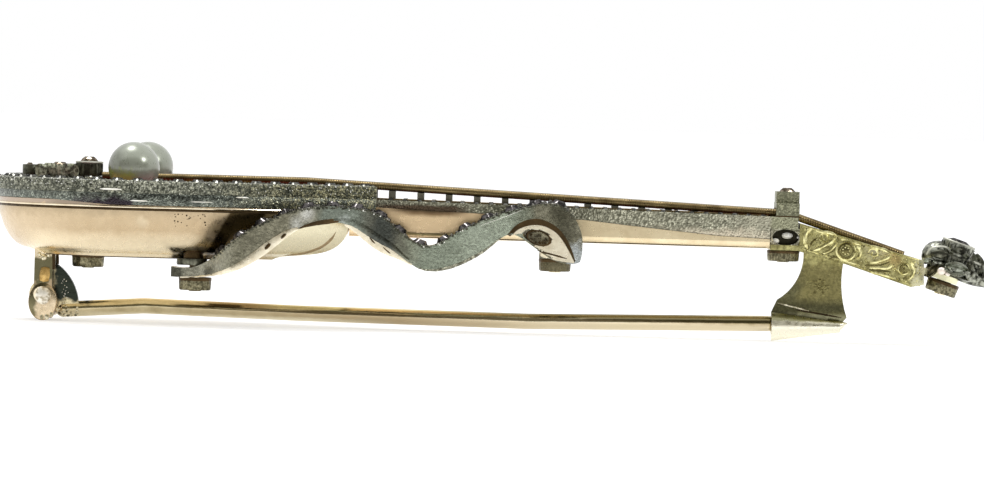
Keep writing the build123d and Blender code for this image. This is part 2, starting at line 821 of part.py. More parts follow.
def make_fret(x):
    """Upright bar across the fingerboard, up to the strings."""
    half_bar = FRET_WIDTH / 2
    half_across = FINGERBOARD_WIDTH / 2 - SEAM
    corners = [(x - half_bar, rail_top(x - half_bar) + FRET_CLEARANCE),
               (x + half_bar, rail_top(x + half_bar) + FRET_CLEARANCE),
               (x + half_bar, string_floor(x + half_bar)),
               (x - half_bar, string_floor(x - half_bar))]
    return side_slab(corners, -half_across, half_across)


def make_string(y):
    """One string from the tail over the frets, through the post and down the head."""
    points = [(STRING_TAIL_X, y, STRING_TAIL_HEIGHT),
              (STRING_CREST_X, y, STRING_CREST_HEIGHT),
              (string_nut_x, y, STRING_NUT_HEIGHT),
              (string_end_x, y, STRING_NUT_HEIGHT - STRING_DROP_OVER_HEAD)]
    path = FilletPolyline(*points, radius=STRING_BEND_RADIUS)
    start = Plane(path @ 0, z_dir=path % 0)
    return sweep(start * Circle(STRING_DIAMETER / 2), path=path)


def pearl_centres():
    """Middle of the near and the far pearl."""
    z = soundboard_top + SEAM + CUP_FLOOR + PEARL_DIAMETER / 2
    near = (BRIDGE_X - PEARL_STAGGER / 2, -PEARL_SPREAD / 2, z)
    far = (BRIDGE_X + PEARL_STAGGER / 2, PEARL_SPREAD / 2, z)
    return near, far


def make_pearl(centre):
    """Pearl drilled for its peg."""
    x, y, z = centre
    low = z - PEARL_DIAMETER / 2
    hole = upright(x, y, PEG_RADIUS + BORE_CLEARANCE, low - PAST,
                   low + PEG_LENGTH + PEG_END_CLEARANCE)
    return Pos(x, y, z) * Sphere(PEARL_DIAMETER / 2) - hole


def make_bridge():
    """Bridge under the strings with a pearl cup at each end."""
    base = soundboard_top + SEAM
    top = string_floor(BRIDGE_X + BRIDGE_WIDTH) - FRET_CLEARANCE
    turn = -math.degrees(math.atan2(PEARL_STAGGER, PEARL_SPREAD))
    bar = Location((BRIDGE_X, 0, (base + top) / 2), (0, 0, turn)) * Box(
        BRIDGE_WIDTH, 2 * half_strings + BRIDGE_MARGIN, top - base)
    foot = Location((BRIDGE_X, 0, base + CUP_HEIGHT / 2), (0, 0, turn)) * Box(
        BRIDGE_WIDTH, BRIDGE_LENGTH, CUP_HEIGHT)
    bridge = bar + foot
    for x, y, z in pearl_centres():
        bridge += upright(x, y, CUP_RADIUS, base, base + CUP_HEIGHT)
    for x, y, z in pearl_centres():
        bridge -= Pos(x, y, z) * Sphere(PEARL_DIAMETER / 2 + STONE_CLEARANCE)
        bridge += upright(x, y, PEG_RADIUS, base, z - PEARL_DIAMETER / 2 + PEG_LENGTH)
    return bridge


def cup_cut(x, y, radius, top):
    """Space for a stone in a round collet."""
    return upright(x, y, radius - COLLET_WALL, top - STONE_SEAT_DEPTH, top + PAST)


def make_tail_ornament():
    """Silver ornament at the tail with three collets, its screw and the strings' bar."""
    base = soundboard_top + SEAM
    plate_top = base + ORNAMENT_PLATE_THICKNESS
    small_radius = MIDDLE_COLLET_X - MIDDLE_COLLET_RADIUS - ORNAMENT_PLATE_START
    plate = upright(ORNAMENT_PLATE_START + small_radius / 2, 0, small_radius / 2, base, plate_top)
    plate += upright(MIDDLE_COLLET_X, 0, MIDDLE_COLLET_RADIUS + MIDDLE_PLATE_MARGIN, base, plate_top)
    plate += upright(DRUM_COLLET_X, 0, DRUM_COLLET_RADIUS + DRUM_PLATE_MARGIN, base, plate_top)
    bar_start = STRING_TAIL_X - TAIL_BAR_LAP
    bar_base = string_floor(STRING_TAIL_X) - TAIL_BAR_HEIGHT
    half_leg = TAIL_BAR_LEG / 2
    bar = block(bar_start, bar_start + TAIL_BAR_WIDTH, -half_strings, half_strings, bar_base,
                string_floor(STRING_TAIL_X))
    for side in (-1, 1):
        y = side * (half_strings - half_leg)
        bar += block(bar_start, bar_start + TAIL_BAR_LEG, y - half_leg, y + half_leg, base, bar_base)
        bar += block(DRUM_COLLET_X, bar_start + half_leg, y - half_leg, y + half_leg, base, plate_top)
    leg_x = SMALL_COLLET_X + COLLET_LEG_RADIUS
    small = upright(leg_x, 0, COLLET_LEG_RADIUS, base, SMALL_COLLET_BASE)
    small += upright(SMALL_COLLET_X, 0, SMALL_COLLET_RADIUS, SMALL_COLLET_BASE, SMALL_COLLET_TOP)
    middle = upright(MIDDLE_COLLET_X, 0, MIDDLE_COLLET_RADIUS, base, MIDDLE_COLLET_TOP)
    drum = upright(DRUM_COLLET_X, 0, DRUM_COLLET_RADIUS, DRUM_COLLET_BASE, DRUM_COLLET_TOP)
    for number in range(DRUM_LEG_COUNT):
        turn = 2 * math.pi * (number + 0.5) / DRUM_LEG_COUNT
        reach = DRUM_COLLET_RADIUS - COLLET_LEG_RADIUS - COLLET_LEG_INSET
        drum += upright(DRUM_COLLET_X + reach * math.cos(turn), reach * math.sin(turn),
                        COLLET_LEG_RADIUS, base, DRUM_COLLET_BASE)
    nut_top = BOWL_BASE - SEAM
    screw = upright(TAIL_SCREW_X, 0, SCREW_RADIUS, nut_top - NUT_HEIGHT - SCREW_END, plate_top)
    ornament = plate + bar + small + middle + drum + screw
    ornament -= cup_cut(SMALL_COLLET_X, 0, SMALL_COLLET_RADIUS, SMALL_COLLET_TOP)
    ornament -= cup_cut(MIDDLE_COLLET_X, 0, MIDDLE_COLLET_RADIUS, MIDDLE_COLLET_TOP)
    ornament -= cup_cut(DRUM_COLLET_X, 0, DRUM_COLLET_RADIUS, DRUM_COLLET_TOP)
    return ornament


def collet_stone(x, y, radius, top, height):
    """Cut stone in a round collet."""
    diameter = 2 * (radius - COLLET_WALL - STONE_CLEARANCE)
    place = Pos(x, y, top - STONE_SEAT_DEPTH + STONE_CLEARANCE)
    return place * cut_stone(diameter, STONE_SEAT_DEPTH + height)


def nut_post_top():
    """Height of the post's flat top."""
    return rail_top_at_head + SEAM + NUT_POST_HEIGHT


def make_nut_post():
    """Square silver post that stands over the strings at the neck's end."""
    base = rail_top_at_head + SEAM
    half_post = NUT_POST_WIDTH / 2
    low = string_nut_x - NUT_POST_LENGTH / 2 + SEAM
    high = low + NUT_POST_LENGTH - 2 * SEAM
    tunnel_top = STRING_NUT_HEIGHT + STRING_DIAMETER / 2 + NUT_POST_CLEARANCE
    roof_top = tunnel_top + NUT_POST_ROOF
    half_top = NUT_POST_TOP_WIDTH / 2
    post = block(low, high, -half_post, half_post, base, roof_top)
    post += block(low, high, -half_top, half_top, roof_top, nut_post_top())
    inner = half_post - NUT_POST_LEG
    post -= block(low - PAST, high + PAST, -inner, inner, base - PAST, tunnel_top)
    return post - upright(string_nut_x, 0, NUT_POST_LENGTH / 2 - COLLET_WALL,
                          nut_post_top() - STONE_SEAT_DEPTH, nut_post_top() + PAST)


def head_side_points():
    """Corners of the head's side outline."""
    return [(head_start + row["along"] * (HEAD_LENGTH - SEAM), head_top - row["drop"] * HEAD_DEPTH)
            for row in rows(HEAD_SIDE_COLUMNS, HEAD_SIDE)]


def make_head_with_catch():
    """Head with the tongue under the neck's end, the terminal's lug and the pin's catch."""
    half_head = HEAD_WIDTH / 2
    plan = [(head_start + row["along"] * (HEAD_LENGTH - SEAM), row["half_width"] * half_head)
            for row in rows(HEAD_PLAN_COLUMNS, HEAD_PLAN)]
    plan += [(x, -y) for x, y in reversed(plan)]
    head = side_slab(head_side_points(), -half_head, half_head)
    head = head & plan_slab(plan, head_top - 3 * HEAD_DEPTH, head_top + PAST)
    trough_low = STRING_DIAMETER / 2 + SEAM
    trough_start = head_start - PAST
    trough_end = string_end_x + SEAM
    trough = [(trough_start, head_string_height(trough_start) - trough_low),
              (trough_end, head_string_height(trough_end) - trough_low),
              (trough_end, head_top + PAST),
              (trough_start, head_top + PAST)]
    head -= side_slab(trough, -half_strings - SEAM, half_strings + SEAM)
    tongue = block(cage_start + SEAM, head_start + TONGUE_ROOT, -half_neck, half_neck,
                   tongue_base, tongue_base + TONGUE_THICKNESS)
    tongue -= bore(neck_end - CAGE_SCREW_FROM_NECK_END, 0, tongue_base - PAST, tongue_base + PAST)
    half_lug = TERMINAL_LUG_WIDTH / 2
    lug_low = -SEAM - TERMINAL_LUG_THICKNESS
    lug = block(-TERMINAL_SCREW_REACH - TERMINAL_LUG_ROOT, 0, -half_lug, half_lug, lug_low, -SEAM)
    lug += upright(0, 0, half_lug, lug_low, -SEAM)
    lug -= bore(0, 0, lug_low - PAST, PAST)
    return head + tongue + terminal_frame * lug + make_catch()


def catch_points(top_x, outward, table):
    """Points of one side of the catch's plate, from its top edge at top_x down."""
    drop = neck_bottom - ROLL_RADIUS
    return [(top_x + outward * row["out"] * CATCH_FLARE, 0, neck_bottom - row["drop"] * drop)
            for row in rows(CATCH_SIDE_COLUMNS, table)]


def make_catch():
    """Sheet under the head that ends in a conical roll for the pin's needle."""
    top_left = neck_end + CATCH_TOP_FROM_NECK
    top_right = top_left + CATCH_TOP_WIDTH
    roll_right = roll_start + ROLL_LENGTH
    roll_lip = 2 * ROLL_RADIUS - ROLL_LIP
    left_top = (top_left, 0, neck_bottom + CATCH_ROOT)
    left_waist, left_low = catch_points(top_left, -1, CATCH_LEFT)
    right_top, right_waist, right_low = catch_points(top_right, 1, CATCH_RIGHT)
    edges = [
        ThreePointArc(left_top, left_waist, left_low),
        Line(left_low, (roll_start, 0, roll_lip)),
        Line((roll_start, 0, roll_lip), (roll_start, 0, ROLL_RADIUS)),
        Line((roll_start, 0, ROLL_RADIUS), (roll_right - ROLL_LIP, 0, ROLL_RADIUS)),
        Line((roll_right - ROLL_LIP, 0, ROLL_RADIUS), right_low),
        ThreePointArc(right_low, right_waist, right_top),
        Line(right_top, (top_right, 0, neck_bottom + CATCH_ROOT)),
        Line((top_right, 0, neck_bottom + CATCH_ROOT), left_top),
    ]
    plate = Pos(0, ROLL_RADIUS - CATCH_PLATE_THICKNESS, 0) * extrude(
        make_face(edges), amount=CATCH_PLATE_THICKNESS, dir=(0, 1, 0))
    turn = math.degrees(math.atan2(ROLL_RISE, ROLL_LENGTH))
    axis = Location((roll_start, 0, ROLL_RADIUS), (0, 90 - turn, 0))
    lift = Pos(0, 0, ROLL_LENGTH / 2)
    outer = axis * lift * Cone(ROLL_RADIUS, ROLL_TIP_RADIUS, ROLL_LENGTH)
    inner = axis * lift * Cone(ROLL_RADIUS - ROLL_WALL, ROLL_TIP_RADIUS - ROLL_WALL, ROLL_LENGTH)
    slot = block(roll_start - PAST, roll_right - ROLL_CLOSED_LENGTH, ROLL_SLOT_SHIFT - ROLL_SLOT / 2,
                 ROLL_SLOT_SHIFT + ROLL_SLOT / 2, ROLL_RADIUS, 2 * ROLL_RADIUS + PAST)
    return plate + outer - inner - slot


def terminal_seats():
    """Place, radius and top of each collet of the terminal, from its screw."""
    seats = []
    for row in rows(TERMINAL_COLUMNS, TERMINAL_COLLETS):
        seats.append((row["along"] * TERMINAL_LENGTH, row["across"] * TERMINAL_WIDTH,
                      row["radius"] * TERMINAL_PLATE_RADIUS, row["height"] * TERMINAL_PLATE_RADIUS))
    return seats


def make_terminal():
    """Silver flower of leaves and collets at the head's end, with its screw."""
    nut_top = -2 * SEAM - TERMINAL_LUG_THICKNESS
    terminal = upright(0, 0, SCREW_RADIUS, nut_top - NUT_HEIGHT - SCREW_END,
                       TERMINAL_PLATE_THICKNESS / 2)
    terminal += upright(0, 0, TERMINAL_PLATE_RADIUS, 0, TERMINAL_PLATE_THICKNESS)
    main_x = terminal_seats()[0][0]
    last_x = terminal_seats()[-1][0]
    half_stem = TERMINAL_STEM_WIDTH / 2
    half_stalk = TERMINAL_STALK_WIDTH / 2
    terminal += block(0, last_x, -half_stem, half_stem, 0, TERMINAL_PLATE_THICKNESS)
    for number in range(TERMINAL_LEAF_COUNT):
        turn = 2 * math.pi * (number + 0.5) / TERMINAL_LEAF_COUNT
        place = Pos(main_x + TERMINAL_LEAF_RING * math.cos(turn),
                    TERMINAL_LEAF_RING * math.sin(turn), TERMINAL_LEAF_HEIGHT)
        terminal += place * Sphere(TERMINAL_LEAF_RADIUS)
    for x, y, radius, top in terminal_seats():
        terminal += upright(x, y, radius, 0, top)
        if y:
            terminal += block(x - half_stalk, x + half_stalk, min(y, 0), max(y, 0), 0,
                              TERMINAL_PLATE_THICKNESS)
    for x, y, radius, top in terminal_seats():
        terminal -= cup_cut(x, y, radius, top)
    return terminal_frame * terminal


def make_terminal_stones():
    """Cut stones in the terminal's collets."""
    stones = [collet_stone(x, y, radius, top, TERMINAL_STONE_RISE)
              for x, y, radius, top in terminal_seats()]
    return Compound(children=[terminal_frame * stone for stone in stones])


def make_ribbon(stone_seats):
    """Silver-topped ribbon beside the neck, screwed under the bowl and under the neck."""
    top = ribbon_edge(RIBBON_TOP_COLUMNS, RIBBON_TOP, 0.0)
    bottom = ribbon_edge(RIBBON_BOTTOM_COLUMNS, RIBBON_BOTTOM, 0.0)
    side = make_face([top, Line(top @ 1, bottom @ 0), bottom, Line(bottom @ 1, top @ 0)])
    reach = TAIL_RADIUS + 2 * RIBBON_WIDTH
    band = extrude(side, amount=reach, dir=(0, -1, 0))
    route = ribbon_route()
    inner = Spline(*[(x, -y, 0) for x, y in route])
    outer = Spline(*[(x, -y - RIBBON_WIDTH, 0) for x, y in route])
    plan = make_face([inner, Line(inner @ 1, outer @ 1), outer, Line(outer @ 0, inner @ 0)])
    band = band & extrude(plan, amount=4 * RIBBON_RISE, dir=(0, 0, 1))
    eye_x = RIBBON_START + EYE_ALONG * RIBBON_LENGTH
    eye_z = RIBBON_BASE + EYE_RISE * RIBBON_RISE
    eye = Location((eye_x, 0, eye_z), (90, 0, 0)) * (Rot(0, 0, EYE_TILT) * extrude(
        Ellipse(EYE_LENGTH / 2, EYE_HEIGHT / 2), amount=reach))
    band -= eye
    lug_top = ribbon_flap_base + RIBBON_LUG_THICKNESS
    lug = block(NECK_SCREW_X - NUT_RADIUS, NECK_SCREW_X + NUT_RADIUS,
                -half_neck - RIBBON_GAP - RIBBON_LUG_LAP, -NECK_SCREW_Y, ribbon_flap_base, lug_top)
    lug += upright(NECK_SCREW_X, -NECK_SCREW_Y, NUT_RADIUS, ribbon_flap_base, lug_top)
    lug += block(NECK_SCREW_X - NUT_RADIUS, NECK_SCREW_X + NUT_RADIUS,
                 -half_neck - RIBBON_GAP - RIBBON_LUG_LAP, -half_neck - RIBBON_GAP,
                 ribbon_flap_base, RIBBON_BASE + RIBBON_LUG_RISE * RIBBON_RISE)
    ribbon = band + lug
    ribbon -= bore(NECK_SCREW_X, -NECK_SCREW_Y, ribbon_flap_base - PAST, neck_bottom)
    ribbon -= bore(RIBBON_SCREW_X, -RIBBON_SCREW_Y, ribbon_lug_base - PAST,
                   ribbon_lug_base + RIBBON_RISE)
    return ribbon - stone_seats


def make_nut(x, y, top, height):
    """Round nut with a bored middle."""
    rims = upright(x, y, NUT_RADIUS, top - height, top).edges().filter_by(GeomType.CIRCLE)
    return chamfer(rims, NUT_CHAMFER) - bore(x, y, top - height - PAST, top + PAST)


def make_rivet():
    """Rivet through the hinge's cheeks and the pin's eye."""
    half_hinge = HINGE_WIDTH / 2 + SEAM
    rivet = across(HINGE_X, HINGE_HEIGHT, RIVET_RADIUS, -half_hinge, half_hinge)
    for side in (-1, 1):
        inner_y = side * half_hinge
        outer_y = side * (half_hinge + RIVET_HEAD_HEIGHT)
        rivet += across(HINGE_X, HINGE_HEIGHT, RIVET_HEAD_RADIUS, min(inner_y, outer_y),
                        max(inner_y, outer_y))
    return rivet


def stem_points():
    """Points of the stem's middle line from the eye to its straight stretch."""
    start_x = HINGE_X + EYE_RADIUS - STEM_ROOT
    straight_x = stem_end_x - STEM_STRAIGHT
    length = straight_x - start_x
    points = [(start_x + row["along"] * length, 0, stem_sag_height + row["rise"] * STEM_SAG)
              for row in rows(STEM_BOW_COLUMNS, STEM_BOW)]
    return points + [(straight_x, 0, stem_sag_height)]


def make_pin():
    """Pin with its eye, its fin, its bowed stem and its needle."""
    points = stem_points()
    slope = (STEM_END_HEIGHT - stem_sag_height) / STEM_STRAIGHT
    last = points[-1]
    beyond = (last[0] + STEM_LEAD, 0, last[2] + STEM_LEAD * slope)
    path = FilletPolyline(*points, beyond, radius=list(STEM_BENDS))
    stem = sweep(Plane(path @ 0, z_dir=path % 0) * Circle(stem_radius), path=path)
    stem += Pos(*(path @ 0)) * Sphere(stem_radius)
    direction = Vector(STEM_STRAIGHT, 0, STEM_END_HEIGHT - stem_sag_height)
    straight_length = direction.length - STEM_LEAD * math.hypot(1.0, slope)
    straight = Plane(beyond, z_dir=direction) * Pos(0, 0, straight_length / 2) * Cylinder(
        stem_radius, straight_length)
    needle = Plane((stem_end_x, 0, STEM_END_HEIGHT), z_dir=direction) * Pos(
        0, 0, NEEDLE_LENGTH / 2) * Cone(stem_radius, NEEDLE_TIP_RADIUS, NEEDLE_LENGTH)
    eye = across(HINGE_X, HINGE_HEIGHT, EYE_RADIUS, -EYE_THICKNESS / 2, EYE_THICKNESS / 2)
    fin_top = (HINGE_X + EYE_RADIUS, 0, HINGE_HEIGHT + FIN_HEIGHT)
    fin_back = (fin_top[0] - FIN_TIP_WIDTH, 0, fin_top[2] - FIN_TIP_DROP)
    fin_belly = (HINGE_X + FIN_BELLY[0] * FIN_REACH, 0, HINGE_HEIGHT + FIN_BELLY[1] * FIN_HEIGHT)
    fin_low = (HINGE_X + FIN_REACH, 0, stem_sag_height)
    fin_edges = [
        ThreePointArc(fin_top, fin_belly, fin_low),
        Line(fin_low, (HINGE_X, 0, stem_sag_height)),
        Line((HINGE_X, 0, stem_sag_height), (HINGE_X, 0, HINGE_HEIGHT)),
        Line((HINGE_X, 0, HINGE_HEIGHT), fin_back),
        Line(fin_back, fin_top),
    ]
    fin = Pos(0, -FIN_THICKNESS / 2, 0) * extrude(
        make_face(fin_edges), amount=FIN_THICKNESS, dir=(0, 1, 0))
    pin = stem + straight + needle + eye + fin
    return pin - across(HINGE_X, HINGE_HEIGHT, RIVET_RADIUS + RIVET_CLEARANCE,
                        -HINGE_WIDTH, HINGE_WIDTH)


# Heights of what the nuts clamp, the terminal's place and the roll's
tongue_base = neck_bottom - SEAM - TONGUE_DROP
ribbon_lug_base = RIBBON_BASE
ribbon_flap_base = neck_bottom - RIBBON_LUG_DROP - RIBBON_LUG_THICKNESS
head_tip = head_start + HEAD_LENGTH - SEAM
terminal_frame = Location((head_tip + TERMINAL_SCREW_REACH, 0, TERMINAL_BASE),
                          (0, TERMINAL_TILT, 0))
roll_start = stem_end_x + ROLL_FROM_STEM

border_stone_places = border_places()
neck_stone_places = neck_places()
ribbon_stone_places = ribbon_places()
rail_seats = seats_at(border_stone_places, BORDER_STONE_DIAMETER)
rail_seats += seats_at(neck_stone_places, NECK_STONE_DIAMETER)
near_pearl, far_pearl = pearl_centres()

nodes = {
    "bowl_with_hinge": make_bowl(),
    "gold_frame": make_gold_frame(),
    "silver_border": make_silver_border(rail_seats),
    "soundboard": make_soundboard(),
    "soundhole_ring": make_soundhole_ring(),
    "fingerboard": make_fingerboard(),
    "bridge": make_bridge(),
    "pearl_near": make_pearl(near_pearl),
    "pearl_far": make_pearl(far_pearl),
    "tail_ornament": make_tail_ornament(),
    "small_collet_stone": collet_stone(SMALL_COLLET_X, 0, SMALL_COLLET_RADIUS,
                                       SMALL_COLLET_TOP, SMALL_STONE_RISE),
    "middle_collet_stone": collet_stone(MIDDLE_COLLET_X, 0, MIDDLE_COLLET_RADIUS,
                                        MIDDLE_COLLET_TOP, MIDDLE_STONE_RISE),
    "drum_collet_stone": collet_stone(DRUM_COLLET_X, 0, DRUM_COLLET_RADIUS,
                                      DRUM_COLLET_TOP, DRUM_STONE_RISE),
    "nut_post": make_nut_post(),
    "nut_post_stone": collet_stone(string_nut_x, 0, NUT_POST_LENGTH / 2, nut_post_top(),
                                   NUT_POST_STONE_RISE),
    "head_with_catch": make_head_with_catch(),
    "terminal": make_terminal(),
    "terminal_stones": make_terminal_stones(),
    "ribbon": make_ribbon(seats_at(ribbon_stone_places, RIBBON_STONE_DIAMETER)),
    "ribbon_diamonds": stones_at(ribbon_stone_places, RIBBON_STONE_DIAMETER, RIBBON_STONE_HEIGHT),
    "border_diamonds": stones_at(border_stone_places, BORDER_STONE_DIAMETER, BORDER_STONE_HEIGHT),
    "neck_diamonds": stones_at(neck_stone_places, NECK_STONE_DIAMETER, NECK_STONE_HEIGHT),
    "screw_nut_tail": make_nut(TAIL_SCREW_X, 0, BOWL_BASE - SEAM, NUT_HEIGHT),
    "screw_nut_ribbon_bowl": make_nut(RIBBON_SCREW_X, -RIBBON_SCREW_Y, ribbon_lug_base - SEAM,
                                      NUT_HEIGHT),
    "screw_nut_ribbon_neck": make_nut(NECK_SCREW_X, -NECK_SCREW_Y, ribbon_flap_base - SEAM,
                                      NUT_HEIGHT),
    "screw_nut_neck_end": make_nut(neck_end - CAGE_SCREW_FROM_NECK_END, 0, tongue_base - SEAM,
                                   NECK_NUT_HEIGHT),
    "screw_nut_terminal": terminal_frame * make_nut(0, 0, -2 * SEAM - TERMINAL_LUG_THICKNESS,
                                                    NUT_HEIGHT),
    "hinge_rivet": make_rivet(),
    "pin_stem": make_pin(),
}
for number, x in enumerate(fret_places(), 1):
    nodes[f"fret_{number:02d}"] = make_fret(x)
for number in range(STRING_COUNT):
    nodes[f"string_{number + 1}"] = make_string((number - (STRING_COUNT - 1) / 2) * STRING_PITCH)

# The origin is under the middle of the whole brooch, on the surface that it stands on
whole = Compound(children=[Compound(solid.solids()) for solid in nodes.values()]).bounding_box()
shift = Pos(-(whole.min.X + whole.max.X) / 2, -(whole.min.Y + whole.max.Y) / 2, -whole.min.Z)

os.makedirs("parts", exist_ok=True)
for name, solid in nodes.items():
    solids = (shift * solid).solids()
    export_step(solids[0] if len(solids) == 1 else Compound(solids), f"parts/{name}.step")
print("origin in the drawing", -shift.position.X, -shift.position.Y, -shift.position.Z)
print("solids", sum(len(solid.solids()) for solid in nodes.values()))
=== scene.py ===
import json
import math
import random

import bpy
import numpy as np
from mathutils import Matrix, Vector
from mathutils.bvhtree import BVHTree


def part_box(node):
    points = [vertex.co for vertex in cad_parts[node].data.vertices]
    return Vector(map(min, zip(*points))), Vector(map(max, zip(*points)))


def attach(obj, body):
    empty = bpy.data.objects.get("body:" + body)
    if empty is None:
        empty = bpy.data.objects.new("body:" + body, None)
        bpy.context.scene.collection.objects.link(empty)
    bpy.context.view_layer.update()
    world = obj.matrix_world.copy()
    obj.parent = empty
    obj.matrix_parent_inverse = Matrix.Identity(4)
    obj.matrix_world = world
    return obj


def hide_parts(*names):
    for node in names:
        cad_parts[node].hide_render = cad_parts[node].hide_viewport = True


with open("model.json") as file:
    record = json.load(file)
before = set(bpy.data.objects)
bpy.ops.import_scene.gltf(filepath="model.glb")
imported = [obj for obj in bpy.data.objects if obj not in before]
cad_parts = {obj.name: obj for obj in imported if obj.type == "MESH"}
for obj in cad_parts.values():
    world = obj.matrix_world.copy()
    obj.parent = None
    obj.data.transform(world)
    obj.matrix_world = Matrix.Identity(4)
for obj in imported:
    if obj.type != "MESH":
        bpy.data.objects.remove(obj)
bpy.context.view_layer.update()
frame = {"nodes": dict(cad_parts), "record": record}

MM = 0.001

# The drawing's frame: x = 0 at the tail's tip, y = 0 in the middle plane, z = 0 on the surface
# that the brooch stands on, in millimetres, with the viewer on the -y side
BORDER_LOW, BORDER_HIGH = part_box("silver_border")
ORIGIN = Vector((BORDER_LOW.x, (BORDER_LOW.y + BORDER_HIGH.y) / 2, 0.0))

# Camera of the photograph
TARGET = (33.03, 0.0, 5.77)
VIEW_WIDTH = 65.6
CAMERA_DISTANCE = 450.0
CAMERA_ELEVATION = 1.2
CAMERA_ROLL = 1.7
SENSOR_WIDTH = 36.0


def row(x, y, z):
    """A point of the drawing in the frame's metres."""
    return ORIGIN + Vector((x, y, z)) * MM


def drawn(point):
    """A point of the frame in the drawing's millimetres."""
    return (point - ORIGIN) / MM


def box_of(node):
    """Lowest and highest corner of a CAD node, in the drawing's millimetres."""
    low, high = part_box(node)
    return drawn(low), drawn(high)


# The two sides of the brooch along y, a depth outside both, and the way up
NEAR, FAR = -1, 1
OUTSIDE = 30.0
UP = (0, 0, 1)

# A range that is open at both ends, white light, and the length of a wave's band at scale 1
OPEN = (None, None)
WHITE = (1.0, 1.0, 1.0, 1.0)
BAND_LENGTH = 0.3142

# Outline of the body, three arcs
TAIL_RADIUS = 8.5
SHOULDER_RADIUS = 40.0
BODY_LENGTH = 25.3
HALF_NECK = 2.2

# Painted highlights on the border, white lines of (start, end, height, radius)
BORDER_GLINTS = ((7.3, 8.7, 8.93, 0.06), (9.3, 10.4, 8.22, 0.045), (13.2, 14.6, 8.24, 0.03),
                 (16.1, 16.9, 8.6, 0.05))

# Bowl: the floor's height, how far its edge lies inside the outline, and the crease by the neck
BOWL_FLOOR = 4.48
BOWL_FLOOR_INSET = 3.1
BOWL_CREASE = ((22.86, 6.80), (22.48, 6.12), (22.03, 5.64), (21.44, 5.29), (20.58, 4.99),
               (19.6, 4.84), (18.9, 4.76))

# Ribbon: strips along its lower edge, (x, how far up its side, how far below)
BACKING_LEFT = ((12.6, 0.03, 0.05), (14.5, 0.05, 0.08), (16.4, 0.24, 0.22), (18.0, 0.44, 0.30),
                (19.2, 0.38, 0.22), (20.3, 0.12, 0.06))
BACKING_RIGHT = ((23.3, -0.02, 0.30), (24.2, 0.05, 0.72), (25.2, 0.05, 0.92), (26.2, 0.05, 0.80),
                 (27.0, 0.03, 0.42), (27.8, 0.02, 0.05))
STEEL_RIGHT = ((22.6, 0.2, 0.02), (23.6, 0.2, 0.24), (24.6, 0.2, 0.40), (25.6, 0.2, 0.38),
               (26.6, 0.2, 0.22), (27.6, 0.2, 0.02))
ARCH_SHADE = ((20.4, 0.05, 0.03), (21.4, 0.20, 0.08), (22.4, 0.20, 0.10), (23.3, 0.10, 0.06))
VALLEY_EDGE = ((28.2, 0.05, 0.02), (30.0, 0.16, 0.04), (32.0, 0.18, 0.04), (33.6, 0.08, 0.02))
# Pierced holes of the backing, (x, how far below the edge, half length, half height, lean)
BACKING_HOLES = ((18.35, -0.12, 0.28, 0.12, 0.8), (19.35, -0.08, 0.24, 0.10, 0.75),
                 (25.1, 0.50, 0.32, 0.045, -0.8), (26.1, 0.52, 0.32, 0.045, -0.7))
# Lines of (x, z) on its side: a bright line, the inside of its end loop with a band of painted shade over it,
# and a slit
RIBBON_LINE = ((32.1, 7.15), (33.75, 7.8), (35.2, 8.42))
UNDERSIDE_TOP = ((34.2, 6.50), (34.75, 7.02), (35.5, 7.30), (36.2, 7.32), (36.75, 7.15), (37.3, 6.80),
                 (37.75, 6.25), (38.15, 5.60), (38.5, 4.95))
UNDERSIDE_LOW = ((34.35, 6.55), (34.75, 6.74), (35.1, 6.70), (35.2, 6.25), (35.6, 5.96), (36.1, 5.80),
                 (36.3, 5.25), (37.3, 5.05), (38.4, 4.90))
UNDERSIDE_SHADE = ((34.0, 6.62), (34.55, 7.26), (35.3, 7.66), (36.1, 7.74), (36.8, 7.52), (37.45, 7.08),
                   (37.95, 6.45), (38.3, 5.75), (38.55, 5.05))
EYE_SLIT = ((36.05, 5.62), (36.7, 5.50), (37.3, 5.36), (38.0, 5.18))
# The dark eye in the end loop, (middle x, middle z, half length, half height, lean)
EYE = (36.1, 6.49, 0.82, 0.50, 0.16)
# Place (x, y) of the lug that holds the ribbon on the bowl
LUG = (13.3, -5.35)

# Head: rosettes (x, z, radius), spirals (x, z, first radius, last radius, start, turns, wire),
# leaves (half width, points along the stroke), and chased lines
HEAD_ROSETTES = ((56.52, 6.20, 0.62), (60.35, 5.12, 0.36))
HEAD_VOLUTES = ((55.05, 6.98, 0.34, 0.10, 0.45, -1.1, 0.10), (58.35, 6.10, 0.36, 0.09, 0.50, -1.1, 0.10))
HEAD_LEAVES = (
    (0.20, (53.95, 6.15), (53.80, 6.75), (53.85, 7.30), (54.30, 7.65)),
    (0.17, (54.25, 6.12), (54.85, 6.35), (55.45, 6.72), (55.85, 7.08)),
    (0.15, (54.85, 5.92), (55.45, 6.15), (55.75, 6.50), (56.05, 6.84)),
    (0.12, (54.35, 7.55), (54.90, 7.38), (55.40, 7.34), (55.95, 7.15)),
    (0.10, (55.50, 5.78), (56.10, 5.58), (56.80, 5.45), (57.40, 5.25)),
    (0.14, (57.20, 6.55), (57.45, 6.30), (57.42, 5.90), (57.20, 5.60)),
    (0.12, (56.10, 6.95), (56.60, 6.88), (57.10, 6.72), (57.60, 6.60)),
    (0.15, (58.05, 5.45), (58.55, 5.55), (59.10, 5.75), (59.55, 5.98)),
    (0.16, (58.00, 5.10), (58.65, 5.15), (59.25, 5.15), (59.65, 5.38)),
    (0.14, (58.05, 4.85), (58.75, 4.75), (59.45, 4.58), (59.95, 4.38)),
    (0.12, (57.90, 6.58), (58.40, 6.48), (59.00, 6.34), (59.45, 6.15)),
    (0.14, (60.75, 5.62), (61.00, 5.25), (60.95, 4.75), (60.60, 4.32)),
)
